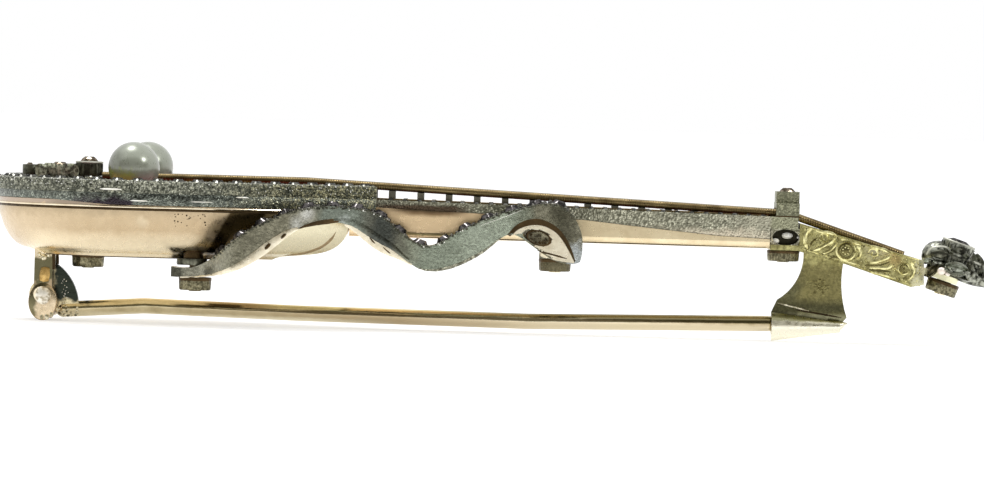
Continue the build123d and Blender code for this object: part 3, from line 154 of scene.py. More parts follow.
HEAD_CUTS = (
    ((54.10, 6.35), (54.28, 6.72), (54.62, 7.02)),
    ((54.62, 6.16), (55.15, 6.42), (55.60, 6.78)),
    ((55.16, 5.92), (55.57, 6.12), (55.86, 6.45)),
    ((57.92, 5.28), (58.28, 5.28), (58.87, 5.34), (59.40, 5.55)),
    ((57.95, 4.97), (58.75, 4.95), (59.50, 4.90)),
    ((55.35, 5.62), (55.95, 5.75), (56.30, 5.52)),
)
HEAD_TOP_LINE = ((53.65, 7.72), (57.0, 6.83), (60.5, 5.92), (61.5, 5.72))
HEAD_LOW_LINE = ((53.65, 6.22), (56.5, 5.42), (58.8, 4.72), (60.7, 4.12))
# Catch: a painted highlight and a line of painted shade on its plate, and its flower, (x, z, radius, petals)
CATCH_HIGHLIGHT_LINE = ((52.2, 2.52), (53.2, 2.30), (54.3, 2.05))
CATCH_SHADE_LINE = ((53.4, 2.10), (54.9, 1.90), (56.5, 1.66))
CATCH_FLOWER = (54.95, 3.65, 0.72, 5)
# Middle (x, z) of the opening at the neck's end
CAGE_MIDDLE = (52.5, 6.95)

# Hinge and pin: solder and the fin's painted highlights, (x, z, size); the dark line of painted shade
# beside the post and the coil's specks, (x, z); the orange inset's middle and its corners around that
HINGE_SOLDER = ((3.33, 4.18, 0.26), (3.02, 4.36, 0.17), (3.62, 4.34, 0.16), (3.30, 0.24, 0.22),
                (3.62, 0.26, 0.24), (3.92, 0.44, 0.20))
HINGE_SHADE_LINE = ((3.97, 3.4), (3.96, 4.0), (3.92, 4.45))
HINGE_INSET = (3.42, 3.05)
HINGE_INSET_CORNERS = ((-0.34, -0.42), (-0.1, -0.52), (0.26, -0.46), (0.36, 0.0), (0.30, 0.45),
                       (0.0, 0.52), (-0.26, 0.46), (-0.36, 0.0))
FIN_GLINTS = ((4.6, 2.72, 0.05), (4.75, 2.6, 0.05), (4.45, 2.45, 0.05), (4.68, 1.75, 0.06),
              (4.52, 2.60, 0.04), (4.66, 2.30, 0.04), (4.80, 2.20, 0.05), (4.58, 2.05, 0.04),
              (4.74, 1.95, 0.04), (4.62, 1.60, 0.05), (4.82, 1.50, 0.04), (4.50, 1.85, 0.04),
              (4.90, 1.85, 0.04))
COIL_GLINTS = ((4.58, 1.35), (4.66, 1.15), (4.52, 1.10), (4.72, 1.38))

# Tail: turned cups, (place, profile, sides, look, how wide), the foot of the middle collet's
# leaves, and the fluted drum, (x, radius, low, top); pearls' cup, (radius, height)
TAIL_CUPS = (
    ((4.1, 0.0, 9.2), ((0.88, 0.0), (0.92, 0.9), (0.86, 1.12), (0.5, 1.14)), 28, 0, 1.0),
    ((2.98, 0.0, 9.2), ((0.5, 0.0), (0.52, 1.0), (0.4, 1.14)), 18, 0, 1.6),
    ((2.17, 0.0, 9.45), ((0.49, 0.0), (0.52, 0.1), (0.52, 0.80), (0.47, 0.86), (0.38, 0.86), (0.37, 0.7)),
     24, 1, 1.0),
)
MIDDLE_COLLET = (4.1, 0.0, 9.62)
DRUM = (6.05, 0.86, 9.68, 10.56)
PEARL_CUP = ((1.05, 0.0), (1.15, 0.15), (1.36, 0.52), (1.40, 0.60), (1.30, 0.62), (1.20, 0.5))

# Terminal: its place, tilt, screw and nut, and its cups, (along, across, radius, top)
TERMINAL_PLACE = (63.36, 0.0, 4.75)
TERMINAL_TILT = 18.0
TERMINAL_UP = (math.sin(math.radians(TERMINAL_TILT)), 0.0, math.cos(math.radians(TERMINAL_TILT)))
TERMINAL_SCREW_RADIUS = 0.5
TERMINAL_SCREW_LENGTH = 1.3
TERMINAL_NUT_HEIGHT = 0.85
TERMINAL_CUPS = ((0.10, 0.0, 1.14, 2.25), (1.60, 1.65, 0.667, 1.41), (1.60, -1.65, 0.667, 1.41),
                 (2.58, 0.0, 0.80, 1.25))
# Fluted dome of its main collet: place, direction and profile, with a wire (x, y, z) and beads
# (x, y, z, radius, look, sides, rings, width, height) on each side
DOME_PLACE = (62.80, 0.0, 5.62)
DOME_UP = (-0.22, 0.0, 1.0)
DOME_PROFILE = ((1.00, 0.0), (1.12, 0.25), (1.12, 0.55), (0.98, 0.90), (0.70, 1.20), (0.35, 1.36),
                (0.05, 1.40))
DOME_ARC = ((61.95, 0.95, 6.10), (62.20, 1.16, 6.50), (62.70, 1.22, 6.64), (63.25, 1.16, 6.60),
            (63.60, 0.90, 6.25))
DOME_BEADS = ((62.85, 1.10, 6.12, 0.30, 1, 12, 8, 1.9, 0.4), (62.93, 1.60, 5.02, 0.27, 5, 10, 7, 1.1, 0.6),
              (63.35, 1.58, 4.84, 0.16, 5, 10, 7, 1.1, 0.6))
# Leaves on each side of it: (root x, y, z), (direction x, z), length, width, curl, look
FLOWER_LEAVES = (
    ((63.45, 1.45, 6.32), (1.0, -0.35), 1.30, 0.85, 0.25, 0),
    ((65.05, 2.10, 6.20), (0.30, -1.0), 1.55, 0.95, 0.20, 0),
    ((63.15, 1.60, 5.32), (1.0, -0.22), 1.60, 0.95, 0.25, 4),
    ((62.65, 1.25, 5.40), (-0.65, -0.80), 1.05, 0.60, 0.15, 2),
    ((62.45, 0.95, 5.62), (-1.0, 0.05), 0.70, 0.42, 0.15, 4),
)


# ---- materials ----

def fill(tree, node, inputs):
    """Sets inputs of a node: a socket is linked, any other value is written in."""
    for name, value in inputs.items():
        if isinstance(value, bpy.types.NodeSocket):
            tree.links.new(value, node.inputs[name])
        else:
            node.inputs[name].default_value = value


def node_of(tree, kind, inputs, **settings):
    """New shader node of a kind, with its settings and inputs."""
    node = tree.nodes.new("ShaderNode" + kind)
    for name, value in settings.items():
        setattr(node, name, value)
    fill(tree, node, inputs)
    return node


def new_material(name):
    """An empty Principled material and its tree."""
    material = bpy.data.materials.new(name)
    material.use_nodes = True
    return material, material.node_tree


def object_point(tree, stretch=None):
    """The object's own coordinates, stretched where asked."""
    coordinates = node_of(tree, "TexCoord", {}).outputs["Object"]
    if not stretch:
        return coordinates
    return node_of(tree, "Mapping", {"Scale": stretch, "Vector": coordinates}).outputs["Vector"]


def noise(tree, scale, detail=4.0, stretch=None, roughness=0.6):
    """Noise over the object's own coordinates, scale per millimetre."""
    inputs = {"Scale": scale / MM, "Detail": detail, "Roughness": roughness,
              "Vector": object_point(tree, stretch)}
    return node_of(tree, "TexNoise", inputs).outputs["Fac"]


def cells(tree, scale):
    """Distance to the nearest of scattered points, scale per millimetre."""
    inputs = {"Scale": scale / MM, "Vector": object_point(tree)}
    return node_of(tree, "TexVoronoi", inputs).outputs["Distance"]


def axis_value(tree, axis):
    """One coordinate of the object's own frame, in metres."""
    return node_of(tree, "SeparateXYZ", {"Vector": object_point(tree)}).outputs[axis]


def spread(tree, value, start=0.3, end=0.7, low=0.0, high=1.0):
    """Maps a value from start..end to low..high."""
    inputs = {"From Min": start, "From Max": end, "To Min": low, "To Max": high, "Value": value}
    return node_of(tree, "MapRange", inputs).outputs["Result"]


def math_node(tree, operation, *values):
    """A Math node of sockets and plain numbers."""
    return node_of(tree, "Math", dict(enumerate(values)), operation=operation).outputs["Value"]


def mixed(tree, value, low, high, blend="MIX"):
    """Colour between low and high by a value from 0 to 1; each is a colour or a socket."""
    ends = [(*colour, 1.0) if isinstance(colour, tuple) else colour for colour in (low, high)]
    inputs = {"A": ends[0], "B": ends[1], "Factor": value}
    return node_of(tree, "Mix", inputs, data_type="RGBA", blend_type=blend).outputs["Result"]


def patch(tree, along, height, soft, wobble=0.3, near_only=False):
    """1 inside a range along x and one in height, 0 outside, with soft, uneven edges; None leaves
    a side open. Soft is one number, or one for each range."""
    soft_x, soft_z = soft if isinstance(soft, tuple) else (soft, soft)
    near, soft_y = ((None, -1.2), 0.3) if near_only else (OPEN, 0.0)
    shake = spread(tree, noise(tree, 1.3, 3.0), low=-wobble * MM, high=wobble * MM)
    inside = None
    for axis, edges, softness in ((0, along, soft_x), (1, near, soft_y), (2, height, soft_z)):
        for edge, sign in zip(edges, (1, -1)):
            if edge is None:
                continue
            at = ORIGIN[axis] + edge * MM
            reach = sign * softness * MM
            value = math_node(tree, "ADD", axis_value(tree, "XYZ"[axis]), shake)
            side = spread(tree, value, at - reach, at + reach)
            inside = side if inside is None else math_node(tree, "MULTIPLY", inside, side)
    return inside


def with_stains_and_painted_light(tree, colour, stains_and_painted_light):
    """Colour with zones of other colours over it, each a colour and what patch asks for."""
    for zone_colour, *zone in stains_and_painted_light:
        colour = mixed(tree, patch(tree, *zone), colour, zone_colour)
    return colour


def leaning(tree, lean, start, end, soft):
    """1 between start and end along x, on the near side; the zone leans along x as it rises."""
    at = math_node(tree, "SUBTRACT", axis_value(tree, "X"),
                   math_node(tree, "MULTIPLY", axis_value(tree, "Z"), lean))
    left, right = ORIGIN.x + start * MM, ORIGIN.x + end * MM
    zone = math_node(tree, "MULTIPLY", spread(tree, at, left - soft * MM, left + soft * MM),
                     spread(tree, at, right - soft * MM, right + soft * MM, 1.0, 0.0))
    near_side = spread(tree, axis_value(tree, "Y"), ORIGIN.y - MM, ORIGIN.y, 1.0, 0.0)
    return math_node(tree, "MULTIPLY", zone, near_side)


def finished(material, colour, rough, layers, constants):
    """Material with its colour, its roughness, (low, high, scale of its noise, detail), its bumps,
    (value, height in millimetres), and constants of its shader."""
    tree = material.node_tree
    low, high, *pattern = rough
    normal = {}
    for value, height in layers:
        bump = {"Strength": 1.0, "Distance": height * MM, "Height": value, **normal}
        normal = {"Normal": node_of(tree, "Bump", bump).outputs["Normal"]}
    roughness = spread(tree, noise(tree, *pattern), low=low, high=high)
    fill(tree, tree.nodes["Principled BSDF"],
         {"Base Color": colour, "Roughness": roughness, **normal, **constants})
    return material


def metal(name, bright, dull, roughness, tarnish=(0.35, 0.75), grain=0.004, dent=0.012, wear=0.25,
          stains_and_painted_light=(), slant=None, mottle=0.9, brushed=0.12, specks=0.0, over=(), metallic=1.0):
    """Worn metal: bright where rubbed, dull where tarnished, with fine scratches and dents.
    Mottle is how many spots of tarnish there are to a millimetre, brushed how long the scratches
    run, 1 being a plain grain, and specks how dark its finer specks are. Stains and painted light lie
    below the specks, over lies on top of them, and slant is (colour, lean, start, end, softness) of a
    zone that leans, used for a painted reflection."""
    material, tree = new_material(name)
    tone = spread(tree, noise(tree, mottle, 6.0), *tarnish)
    colour = with_stains_and_painted_light(tree, mixed(tree, tone, bright, dull), stains_and_painted_light)
    if specks:
        spots = spread(tree, noise(tree, 3.0 * mottle), 0.42, 0.58)
        colour = with_stains_and_painted_light(tree, mixed(tree, spots, colour, (1.0 - specks,) * 3, "MULTIPLY"), over)
    if slant:
        colour = mixed(tree, leaning(tree, *slant[1:]), colour, slant[0])
    scratches = noise(tree, 6.0, 3.0, stretch=(brushed, 1.0, 1.0))
    return finished(material, colour, (roughness * (1 - wear), roughness * (1 + 2 * wear), 2.5, 5.0),
                    ((noise(tree, 0.55, 1.0), dent), (scratches, grain)), {"Metallic": metallic})


def granular(name, high, low, roughness, scale=5.5, relief=0.05, warm=None, stains_and_painted_light=(), metallic=1.0):
    """Chased and oxidised silver: bright on its grains and dark between them; warm is (colour,
    start, end) of a tint that comes in along x."""
    material, tree = new_material(name)
    grains = spread(tree, cells(tree, scale), 0.0, 0.75, 1.0, 0.0)
    clumps = spread(tree, noise(tree, 2.4, 6.0, roughness=0.75), 0.38, 0.62)
    tops = high
    if warm:
        warm_colour, start, end = warm
        along = spread(tree, axis_value(tree, "X"), ORIGIN.x + start * MM, ORIGIN.x + end * MM)
        tops = mixed(tree, along, high, warm_colour)
    colour = mixed(tree, math_node(tree, "MULTIPLY", grains, clumps), low, tops)
    return finished(material, with_stains_and_painted_light(tree, colour, stains_and_painted_light), (roughness * 0.7, roughness * 1.6, 3.0),
                    ((grains, relief), (noise(tree, 7.0, 2.0), 0.03)), {"Metallic": metallic})


def wound(name, bright, dull, pitch):
    """Twisted wire: fine ridges across the string."""
    material, tree = new_material(name)
    inputs = {"Scale": BAND_LENGTH / (pitch * MM), "Distortion": 0.6, "Vector": object_point(tree)}
    bands = node_of(tree, "TexWave", inputs, bands_direction="X").outputs["Fac"]
    tone = spread(tree, noise(tree, 0.8, 6.0), 0.35, 0.7)
    return finished(material, mixed(tree, tone, bright, dull), (0.22, 0.42, 2.0),
                    ((bands, 0.012), (noise(tree, 4.0), 0.008)), {"Metallic": 1.0})


def enamel(name, deep, light, centre, rays=72):
    """Translucent enamel over engine-turned rings and rays, under a clear coat."""
    material, tree = new_material(name)
    mapping = node_of(tree, "Mapping", {"Location": -row(*centre), "Vector": object_point(tree)})
    place = {"Vector": mapping.outputs["Vector"]}
    rings = node_of(tree, "TexWave", {"Scale": 0.55 / MM, **place}, wave_type="RINGS",
                    rings_direction="Z").outputs["Fac"]
    fan = node_of(tree, "TexGradient", place, gradient_type="RADIAL").outputs["Fac"]
    fluting = math_node(tree, "SINE", math_node(tree, "MULTIPLY", fan, 2 * math.pi * rays))
    guilloche = math_node(tree, "ADD", rings, math_node(tree, "MULTIPLY", fluting, 0.35))
    colour = mixed(tree, spread(tree, guilloche, 0.0, 1.2), deep, light)
    return finished(material, colour, (0.22, 0.34, 1.0),
                    ((guilloche, 0.01), (noise(tree, 0.4, 2.0), 0.02)),
                    {"Metallic": 0.4, "Coat Weight": 1.0, "Coat Roughness": 0.04})


def nacre(name):
    """Cultured pearl, grey-green with a soft lustre, darker on its left side as painted shade, yellower low
    down.
    """
    material, tree = new_material(name)
    body = mixed(tree, spread(tree, noise(tree, 0.5)), (0.26, 0.28, 0.22), (0.35, 0.37, 0.31))
    # Darker on the pearl's left side as painted shade, then yellow-green low down
    zones = (((0.17, 0.18, 0.14), (None, 8.3), OPEN, 0.5),
             ((0.36, 0.42, 0.11), (None, 9.35), (None, 10.1), 0.3))
    return finished(material, with_stains_and_painted_light(tree, body, zones), (0.24, 0.36, 2.0),
                    ((noise(tree, 1.0, 2.0), 0.006),),
                    {"Metallic": 0.45, "Coat Weight": 0.5, "Coat Roughness": 0.14})


def diamond(name, dark, light):
    """Old-cut diamond, each facet clear or dark."""
    material, tree = new_material(name)
    tone = spread(tree, noise(tree, 2.6, 2.0), 0.42, 0.60)
    return finished(material, mixed(tree, tone, dark, light), (0.0, 0.08, 4.0),
                    ((noise(tree, 3.0), 0.004),),
                    {"IOR": 2.0, "Transmission Weight": 0.1, "Metallic": 0.75,
                     "Specular Tint": (0.2, 0.2, 0.2, 1.0)})


# Looks. Stains and painted light are (colour, range along x, range in height, softness) in the drawing's
# millimetres, with a wobble where the edge is straight, and True where only the near side has it
# Painted reflection of the ribbon on the bowl
PAINTED_RIBBON_REFLECTION = (0.085, 0.06, 0.028)
POST_BROWN = (0.17, 0.155, 0.085)
WARM_SILVER = (0.86, 0.80, 0.48)

ROSE_GOLD = metal("rose_gold", (0.545, 0.425, 0.27), (0.475, 0.36, 0.22), 0.27, grain=0.0004,
                  dent=0.002, stains_and_painted_light=(
    ((0.63, 0.505, 0.34), (None, 4.5), (4.7, 7.4), 1.4),
    ((0.72, 0.66, 0.47), (18.0, None), OPEN, 1.0),
    # Painted light on the bowl's lower part
    ((0.98, 0.86, 0.62), (2.4, 14.0), (4.0, 5.55), (0.9, 0.7), 0.1),
    # A small painted highlight
    ((0.92, 0.86, 0.66), (9.95, 10.2), (6.75, 6.95), 0.4, 0.1),
    (POST_BROWN, (None, 4.6), (2.5, 4.3), 0.12),
    # Painted shade on the stud, between the bowl and the ribbon
    ((0.10, 0.08, 0.045), (12.2, 14.9), (None, 4.38), 0.06, 0.02),
    ((0.46, 0.36, 0.23), OPEN, (7.25, None), 0.35)),
    # A painted reflection of the ribbon, in a band that leans
    slant=(PAINTED_RIBBON_REFLECTION, 0.54, 11.65, 14.0, 0.1))
CHEEK_GOLD = metal("cheek_gold", (0.92, 0.77, 0.55), (0.60, 0.47, 0.30), 0.25, mottle=2.0, stains_and_painted_light=(
    # Painted shade on the cheek's left edge and on its top
    ((0.20, 0.18, 0.10), (None, 2.78), OPEN, 0.2),
    ((0.16, 0.14, 0.08), OPEN, (2.2, None), 0.15)))
NECK_GOLD = metal("neck_gold", (0.86, 0.73, 0.49), (0.68, 0.55, 0.34), 0.28, grain=0.001, dent=0.003,
                  wear=0.1, stains_and_painted_light=(
    ((0.86, 0.65, 0.40), (None, 33.5), OPEN, 1.0),
    ((0.50, 0.40, 0.31), (None, 8.5), (7.6, None), (2.5, 0.2)),
    # Painted shade in an arc under the ribbon's valley, in two steps
    ((0.30, 0.20, 0.11), (26.9, 30.9), (7.70, None), (0.8, 0.12), 0.04, True),
    ((0.10, 0.07, 0.04), (26.4, 31.0), (7.92, None), (0.8, 0.10), 0.04, True)))
POLISHED_GOLD = metal("polished_gold", (0.92, 0.82, 0.62), (0.74, 0.60, 0.40), 0.12)
FRONT_GOLD = metal("front_gold", (0.50, 0.36, 0.16), (0.36, 0.25, 0.09), 0.25)
PIN_GOLD = metal("pin_gold", (0.66, 0.57, 0.36), (0.46, 0.38, 0.22), 0.15, dent=0.03, stains_and_painted_light=(
    ((0.49, 0.39, 0.24), (17.0, None), OPEN, 6.0),
    # Painted highlights along the pin's top edge, and painted light along its lower edge
    ((0.90, 0.80, 0.56), (6.5, 24.0), (1.36, None), (3.0, 0.10), 0.03),
    ((0.80, 0.72, 0.52), (6.5, 24.0), (None, 0.62), (3.0, 0.10), 0.03),
    ((0.85, 0.74, 0.44), (20.0, 34.0), (1.20, None), (4.0, 0.10), 0.03),
    ((0.80, 0.72, 0.48), (34.0, 52.0), (1.36, None), (3.0, 0.10), 0.03),
    # A painted dark reflection in a band along the pin, and painted light below it
    ((0.24, 0.20, 0.10), (32.0, None), (1.10, 1.60), (5.0, 0.08), 0.04),
    ((0.78, 0.68, 0.48), (32.0, None), (None, 1.0), (5.0, 0.10), 0.04),
    # Painted shade, near black, on the fin at the pin's root
    ((0.03, 0.036, 0.027), (3.9, 6.6), (1.25, None), 0.2)))
SILVER = granular("silver", (0.92, 0.90, 0.70), (0.17, 0.167, 0.12), 0.3, scale=7.0, metallic=0.85,
                  stains_and_painted_light=(
    # Painted shade in the arc under the ribbon's valley
    ((0.10, 0.07, 0.045), (25.2, 31.2), (7.6, 8.38), (0.7, 0.10), 0.04, True),
    ((0.44, 0.42, 0.32), (50.0, 51.4), OPEN, (1.2, 1.0)),
    ((0.62, 0.55, 0.42), (44.5, 51.3), (None, 7.25), (3.0, 0.35)),
    ((0.30, 0.30, 0.20), (51.5, None), (7.5, None), (0.1, 0.1), 0.03)))
POST_SILVER = granular("post_silver", (0.60, 0.60, 0.40), (0.17, 0.17, 0.11), 0.35, scale=9.0, relief=0.03,
                       metallic=0.85)
PRONG_SILVER = granular("prong_silver", (0.60, 0.61, 0.49), (0.08, 0.08, 0.06), 0.55, scale=6.5, metallic=0.8)
WORN_RIM = metal("worn_rim", (0.58, 0.58, 0.50), (0.26, 0.26, 0.21), 0.45, metallic=0.6)
BORDER_SILVER = granular("border_silver", (1.0, 1.0, 0.80), (0.075, 0.08, 0.06), 0.26, scale=6.5,
                         relief=0.07, warm=(WARM_SILVER, 14.0, 20.0), metallic=0.82)
BEVEL_SILVER = granular("bevel_silver", (0.60, 0.64, 0.54), (0.09, 0.10, 0.085), 0.2, scale=7.5,
                        relief=0.03, warm=(WARM_SILVER, 15.0, 20.0), metallic=0.9,
                        # Near black from x 5.6 to 9.6: a painted dark reflection
                        stains_and_painted_light=(((0.035, 0.028, 0.034), (5.6, 9.6), (None, 8.40), 0.25),
                                ((0.045, 0.05, 0.042), (9.6, 16.5), (8.38, 8.75), 0.15)))
BRIGHT_SILVER = metal("bright_silver", (0.92, 0.92, 0.86), (0.66, 0.66, 0.60), 0.2)
RIVET_SILVER = metal("rivet_silver", (1.0, 0.95, 0.84), (0.50, 0.43, 0.30), 0.45, tarnish=(0.48, 0.60),
                     dent=0.04, mottle=2.5, metallic=0.75)
RIBBON_SETTING = granular("ribbon_setting", (0.62, 0.60, 0.52), (0.035, 0.033, 0.03), 0.3, scale=6.0)
# White, barely metallic: painted highlights on the border, in the cage and on the pin's fin
PAINTED_HIGHLIGHT_WHITE = metal("painted_highlight_white", (1.0, 0.99, 0.93), (0.72, 0.68, 0.55), 0.5, dent=0.03, mottle=2.0,
                   metallic=0.3)
# Near black: painted shade inside the opening at the neck's end
CAGE_PAINTED_SHADE = metal("cage_painted_shade", (0.05, 0.045, 0.03), (0.02, 0.018, 0.012), 0.4)
DARK_SILVER = metal("dark_silver", (0.24, 0.24, 0.18), (0.06, 0.06, 0.045), 0.35, tarnish=(0.3, 0.6),
                    mottle=2.5)
LEAF_SILVER = metal("leaf_silver", (0.50, 0.52, 0.38), (0.10, 0.10, 0.07), 0.6, tarnish=(0.42, 0.58),
                    mottle=4.0, metallic=0.55)
RIBBON_SILVER = metal("ribbon_silver", (0.31, 0.295, 0.215), (0.22, 0.21, 0.15), 0.22, dent=0.02, grain=0.007,
                      mottle=2.0, tarnish=(0.4, 0.6), brushed=0.7, specks=0.30, stains_and_painted_light=(
    ((0.32, 0.31, 0.24), (None, 15.5), OPEN, 0.8),
    ((0.10, 0.10, 0.075), (None, 12.7), OPEN, 0.15),
    # Painted highlight on the ribbon's first rise, in two slanted steps
    ((0.62, 0.62, 0.56), (19.9, 20.5), (6.5, 7.45), (0.3, 0.3), 0.1),
    ((0.74, 0.74, 0.68), (20.5, 21.2), (7.3, 8.3), (0.3, 0.3), 0.1),
    ((0.235, 0.265, 0.22), (21.6, 24.6), OPEN, 0.5),
    # A painted highlight on the crest
    ((0.50, 0.54, 0.50), (23.0, 23.5), (7.25, 7.6), 0.2),
    ((0.085, 0.092, 0.08), (24.6, 27.0), OPEN, 0.8),
    ((0.32, 0.36, 0.28), (27.6, 35.2), OPEN, 0.8),
    ((0.43, 0.48, 0.38), (31.0, 34.4), OPEN, 0.6),
    ((0.10, 0.10, 0.07), (29.0, 33.0), (None, 4.0), 0.12),
    ((0.12, 0.115, 0.08), (36.9, 38.3), (6.2, None), 0.4),
    ((0.58, 0.62, 0.62), (38.1, None), (None, 6.1), 0.25)))
BACKING_GOLD = metal("backing_gold", (0.95, 0.88, 0.70), (0.72, 0.63, 0.46), 0.28, mottle=2.0)
STRING_GOLD = wound("string_gold", (0.24, 0.18, 0.085), (0.10, 0.07, 0.03), 0.16)
FRET_METAL = metal("fret_metal", (0.18, 0.17, 0.135), (0.085, 0.08, 0.06), 0.35)
GREEN_GOLD = metal("green_gold", (0.60, 0.56, 0.25), (0.27, 0.24, 0.095), 0.28, tarnish=(0.40, 0.62),
                   mottle=2.2, specks=0.3, stains_and_painted_light=(
    ((0.28, 0.25, 0.105), (None, 57.4), (None, 5.2), 0.25),
    ((0.17, 0.16, 0.08), (None, 53.6), (None, 4.6), 0.4),
    # Painted shade in the gap above the catch's roll
    ((0.105, 0.10, 0.05), OPEN, (1.8, 2.7), 0.3, 0.1),
    ((0.62, 0.57, 0.36), (57.9, 59.4), (5.9, None), (0.6, 0.4), 0.3, True),
    ((0.58, 0.44, 0.18), (59.1, 60.1), (5.3, 6.1), (0.5, 0.4), 0.3, True)), over=(
    # Painted reflections on the catch's roll: dark on its upper half, bright on its lower half
    ((0.34, 0.33, 0.20), OPEN, (1.4, 1.85), 0.12, 0.06),
    ((1.0, 0.96, 0.80), OPEN, (None, 1.32), 0.12, 0.06),
    ((0.84, 0.81, 0.56), (61.2, None), OPEN, 0.35)))
CHASED_GOLD = metal("chased_gold", (0.86, 0.81, 0.42), (0.46, 0.41, 0.16), 0.25, tarnish=(0.42, 0.62),
                    mottle=3.0)
CHASED_DARK = metal("chased_dark", (0.22, 0.19, 0.075), (0.10, 0.09, 0.035), 0.3)
NUT_GOLD = metal("nut_gold", (0.34, 0.31, 0.19), (0.11, 0.10, 0.06), 0.35, tarnish=(0.40, 0.60), mottle=5.0,
                 specks=0.4, stains_and_painted_light=(((0.17, 0.15, 0.09), (36.0, 38.5), OPEN, 0.05),))
GREEN_CUP = metal("green_cup", (0.46, 0.46, 0.20), (0.28, 0.28, 0.10), 0.25)
ORANGE_GOLD = metal("orange_gold", (0.66, 0.44, 0.16), (0.40, 0.24, 0.07), 0.3, tarnish=(0.4, 0.6),
                    mottle=2.5)
SOLDER = metal("solder", (0.92, 0.86, 0.66), (0.42, 0.38, 0.25), 0.3, tarnish=(0.42, 0.58), mottle=4.0)
PINK_SOLDER = metal("pink_solder", (0.98, 0.88, 0.80), (0.75, 0.64, 0.55), 0.4, metallic=0.4)
FLOWER_SILVER = metal("flower_silver", (0.42, 0.43, 0.36), (0.05, 0.05, 0.04), 0.3, tarnish=(0.38, 0.60),
                      mottle=3.0)
PALE_LEAF = metal("pale_leaf", (0.62, 0.65, 0.57), (0.24, 0.25, 0.20), 0.3, tarnish=(0.38, 0.66), mottle=2.0)
DARK_LINE = metal("dark_line", (0.10, 0.065, 0.03), (0.04, 0.028, 0.015), 0.4)
DARK_EYE = metal("dark_eye", (0.52, 0.48, 0.33), (0.08, 0.07, 0.045), 0.4, tarnish=(0.42, 0.6), mottle=3.0)
ENAMEL = enamel("enamel", (0.11, 0.005, 0.015), (0.36, 0.02, 0.045), (15.0, 0.0, 8.43))
PEARL = nacre("pearl")
BROWN_LINE = metal("brown_line", (0.40, 0.30, 0.17), (0.22, 0.15, 0.08), 0.4)
DIAMOND = diamond("diamond", (0.20, 0.20, 0.17), (0.75, 0.75, 0.67))
GREY_STONE = diamond("grey_stone", (0.14, 0.135, 0.13), (0.55, 0.53, 0.51))
# Darker copies of the stones' material for their crown facets: painted shade
CROWN = diamond("stone_crown", (0.03, 0.03, 0.026), (0.17, 0.17, 0.15))
GREY_CROWN = diamond("grey_crown", (0.02, 0.018, 0.017), (0.13, 0.12, 0.118))
DARK_STONE = diamond("dark_stone", (0.08, 0.06, 0.04), (0.34, 0.29, 0.22))

SLOT_LOOKS = {
    "rose_gold": ROSE_GOLD,
    "silver": SILVER,
    "red_enamel": ENAMEL,
    "string_gold": STRING_GOLD,
    "fret_metal": FRET_METAL,
    "green_gold": GREEN_GOLD,
    "nut_gold": NUT_GOLD,
    "pearl": PEARL,
    "diamond": DIAMOND,
}
NODE_LOOKS = {
    "gold_frame": NECK_GOLD,
    "pin_stem": PIN_GOLD,
    "ribbon": RIBBON_SILVER,
    "hinge_rivet": POLISHED_GOLD,
    "tail_ornament": DARK_SILVER,
    "bridge": FRONT_GOLD,
    "soundhole_ring": FRONT_GOLD,
    "nut_post": POST_SILVER,
    "small_collet_stone": DARK_STONE,
    "middle_collet_stone": DARK_STONE,
    "drum_collet_stone": DARK_STONE,
    "nut_post_stone": DARK_STONE,
}


def placed(name, data):
    """New object of a mesh, a light or a camera, in the scene."""
    item = bpy.data.objects.new(name, data)
    bpy.context.scene.collection.objects.link(item)
    return item


def shaded(mesh, sharp):
    """Smooth shading with creases where faces turn by more than so many degrees."""
    mesh.shade_smooth()
    mesh.set_sharp_from_angle(angle=math.radians(sharp))


def dress_frame():
    """Gives each CAD node its look and smooth shading."""
    for part in frame["record"]["subparts"]:
        name = part["node"]
        mesh = frame["nodes"][name].data
        mesh.materials.clear()
        mesh.materials.append(NODE_LOOKS.get(name, SLOT_LOOKS[part["material_slot"]]))
        shaded(mesh, 32)


# ---- shapes ----

class Shape:
    """Points and faces in the drawing's millimetres, each face with the number of its look."""

    def __init__(self):
        self.points = []
        self.faces = []
        self.looks = []

    def add(self, points, faces, look=0):
        """Adds points and the faces between them."""
        start = len(self.points)
        self.points.extend(tuple(point) for point in points)
        self.faces.extend(tuple(start + index for index in face) for face in faces)
        self.looks.extend([look] * len(faces))

    def piece(self, name, looks, body="brooch", sharp=40.0, stands_for=()):
        """Makes the object, in its place, on its body."""
        points = np.array(self.points) * MM + np.array(ORIGIN)
        mesh = bpy.data.meshes.new(name)
        mesh.from_pydata(points.tolist(), [], self.faces)
        for look in looks:
            mesh.materials.append(look)
        mesh.polygons.foreach_set("material_index", self.looks)
        mesh.validate()
        shaded(mesh, sharp)
        item = placed(name, mesh)
        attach(item, body)
        if stands_for:
            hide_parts(*stands_for)


def spokes(count, start=0.0):
    """(cosine, sine) of even steps around a circle, the first one start steps in."""
    turns = [2 * math.pi * (number + start) / count for number in range(count)]
    return [(math.cos(turn), math.sin(turn)) for turn in turns]


def frame_of(normal):
    """Two directions square to a normal."""
    normal = Vector(normal).normalized()
    side = normal.cross(Vector((0, 1, 0)) if abs(normal.y) < 0.9 else Vector((1, 0, 0))).normalized()
    return side, normal.cross(side)


def ring(centre, normal, radius, sides, wide=1.0, turn=0.0):
    """Points around a centre, square to a normal; wide stretches the second direction."""
    side, other = frame_of(normal)
    centre = Vector(centre)
    return [centre + side * (radius * c) + other * (radius * wide * s) for c, s in spokes(sides, turn)]


def oval(x, y, z, half_x, half_z, sides, power=1.0):
    """Points of an upright oval that faces along y; a power under 1 fills its corners."""
    return [Vector((x + half_x * math.copysign(abs(c) ** power, c), y,
                    z + half_z * math.copysign(abs(s) ** power, s))) for c, s in spokes(sides)]


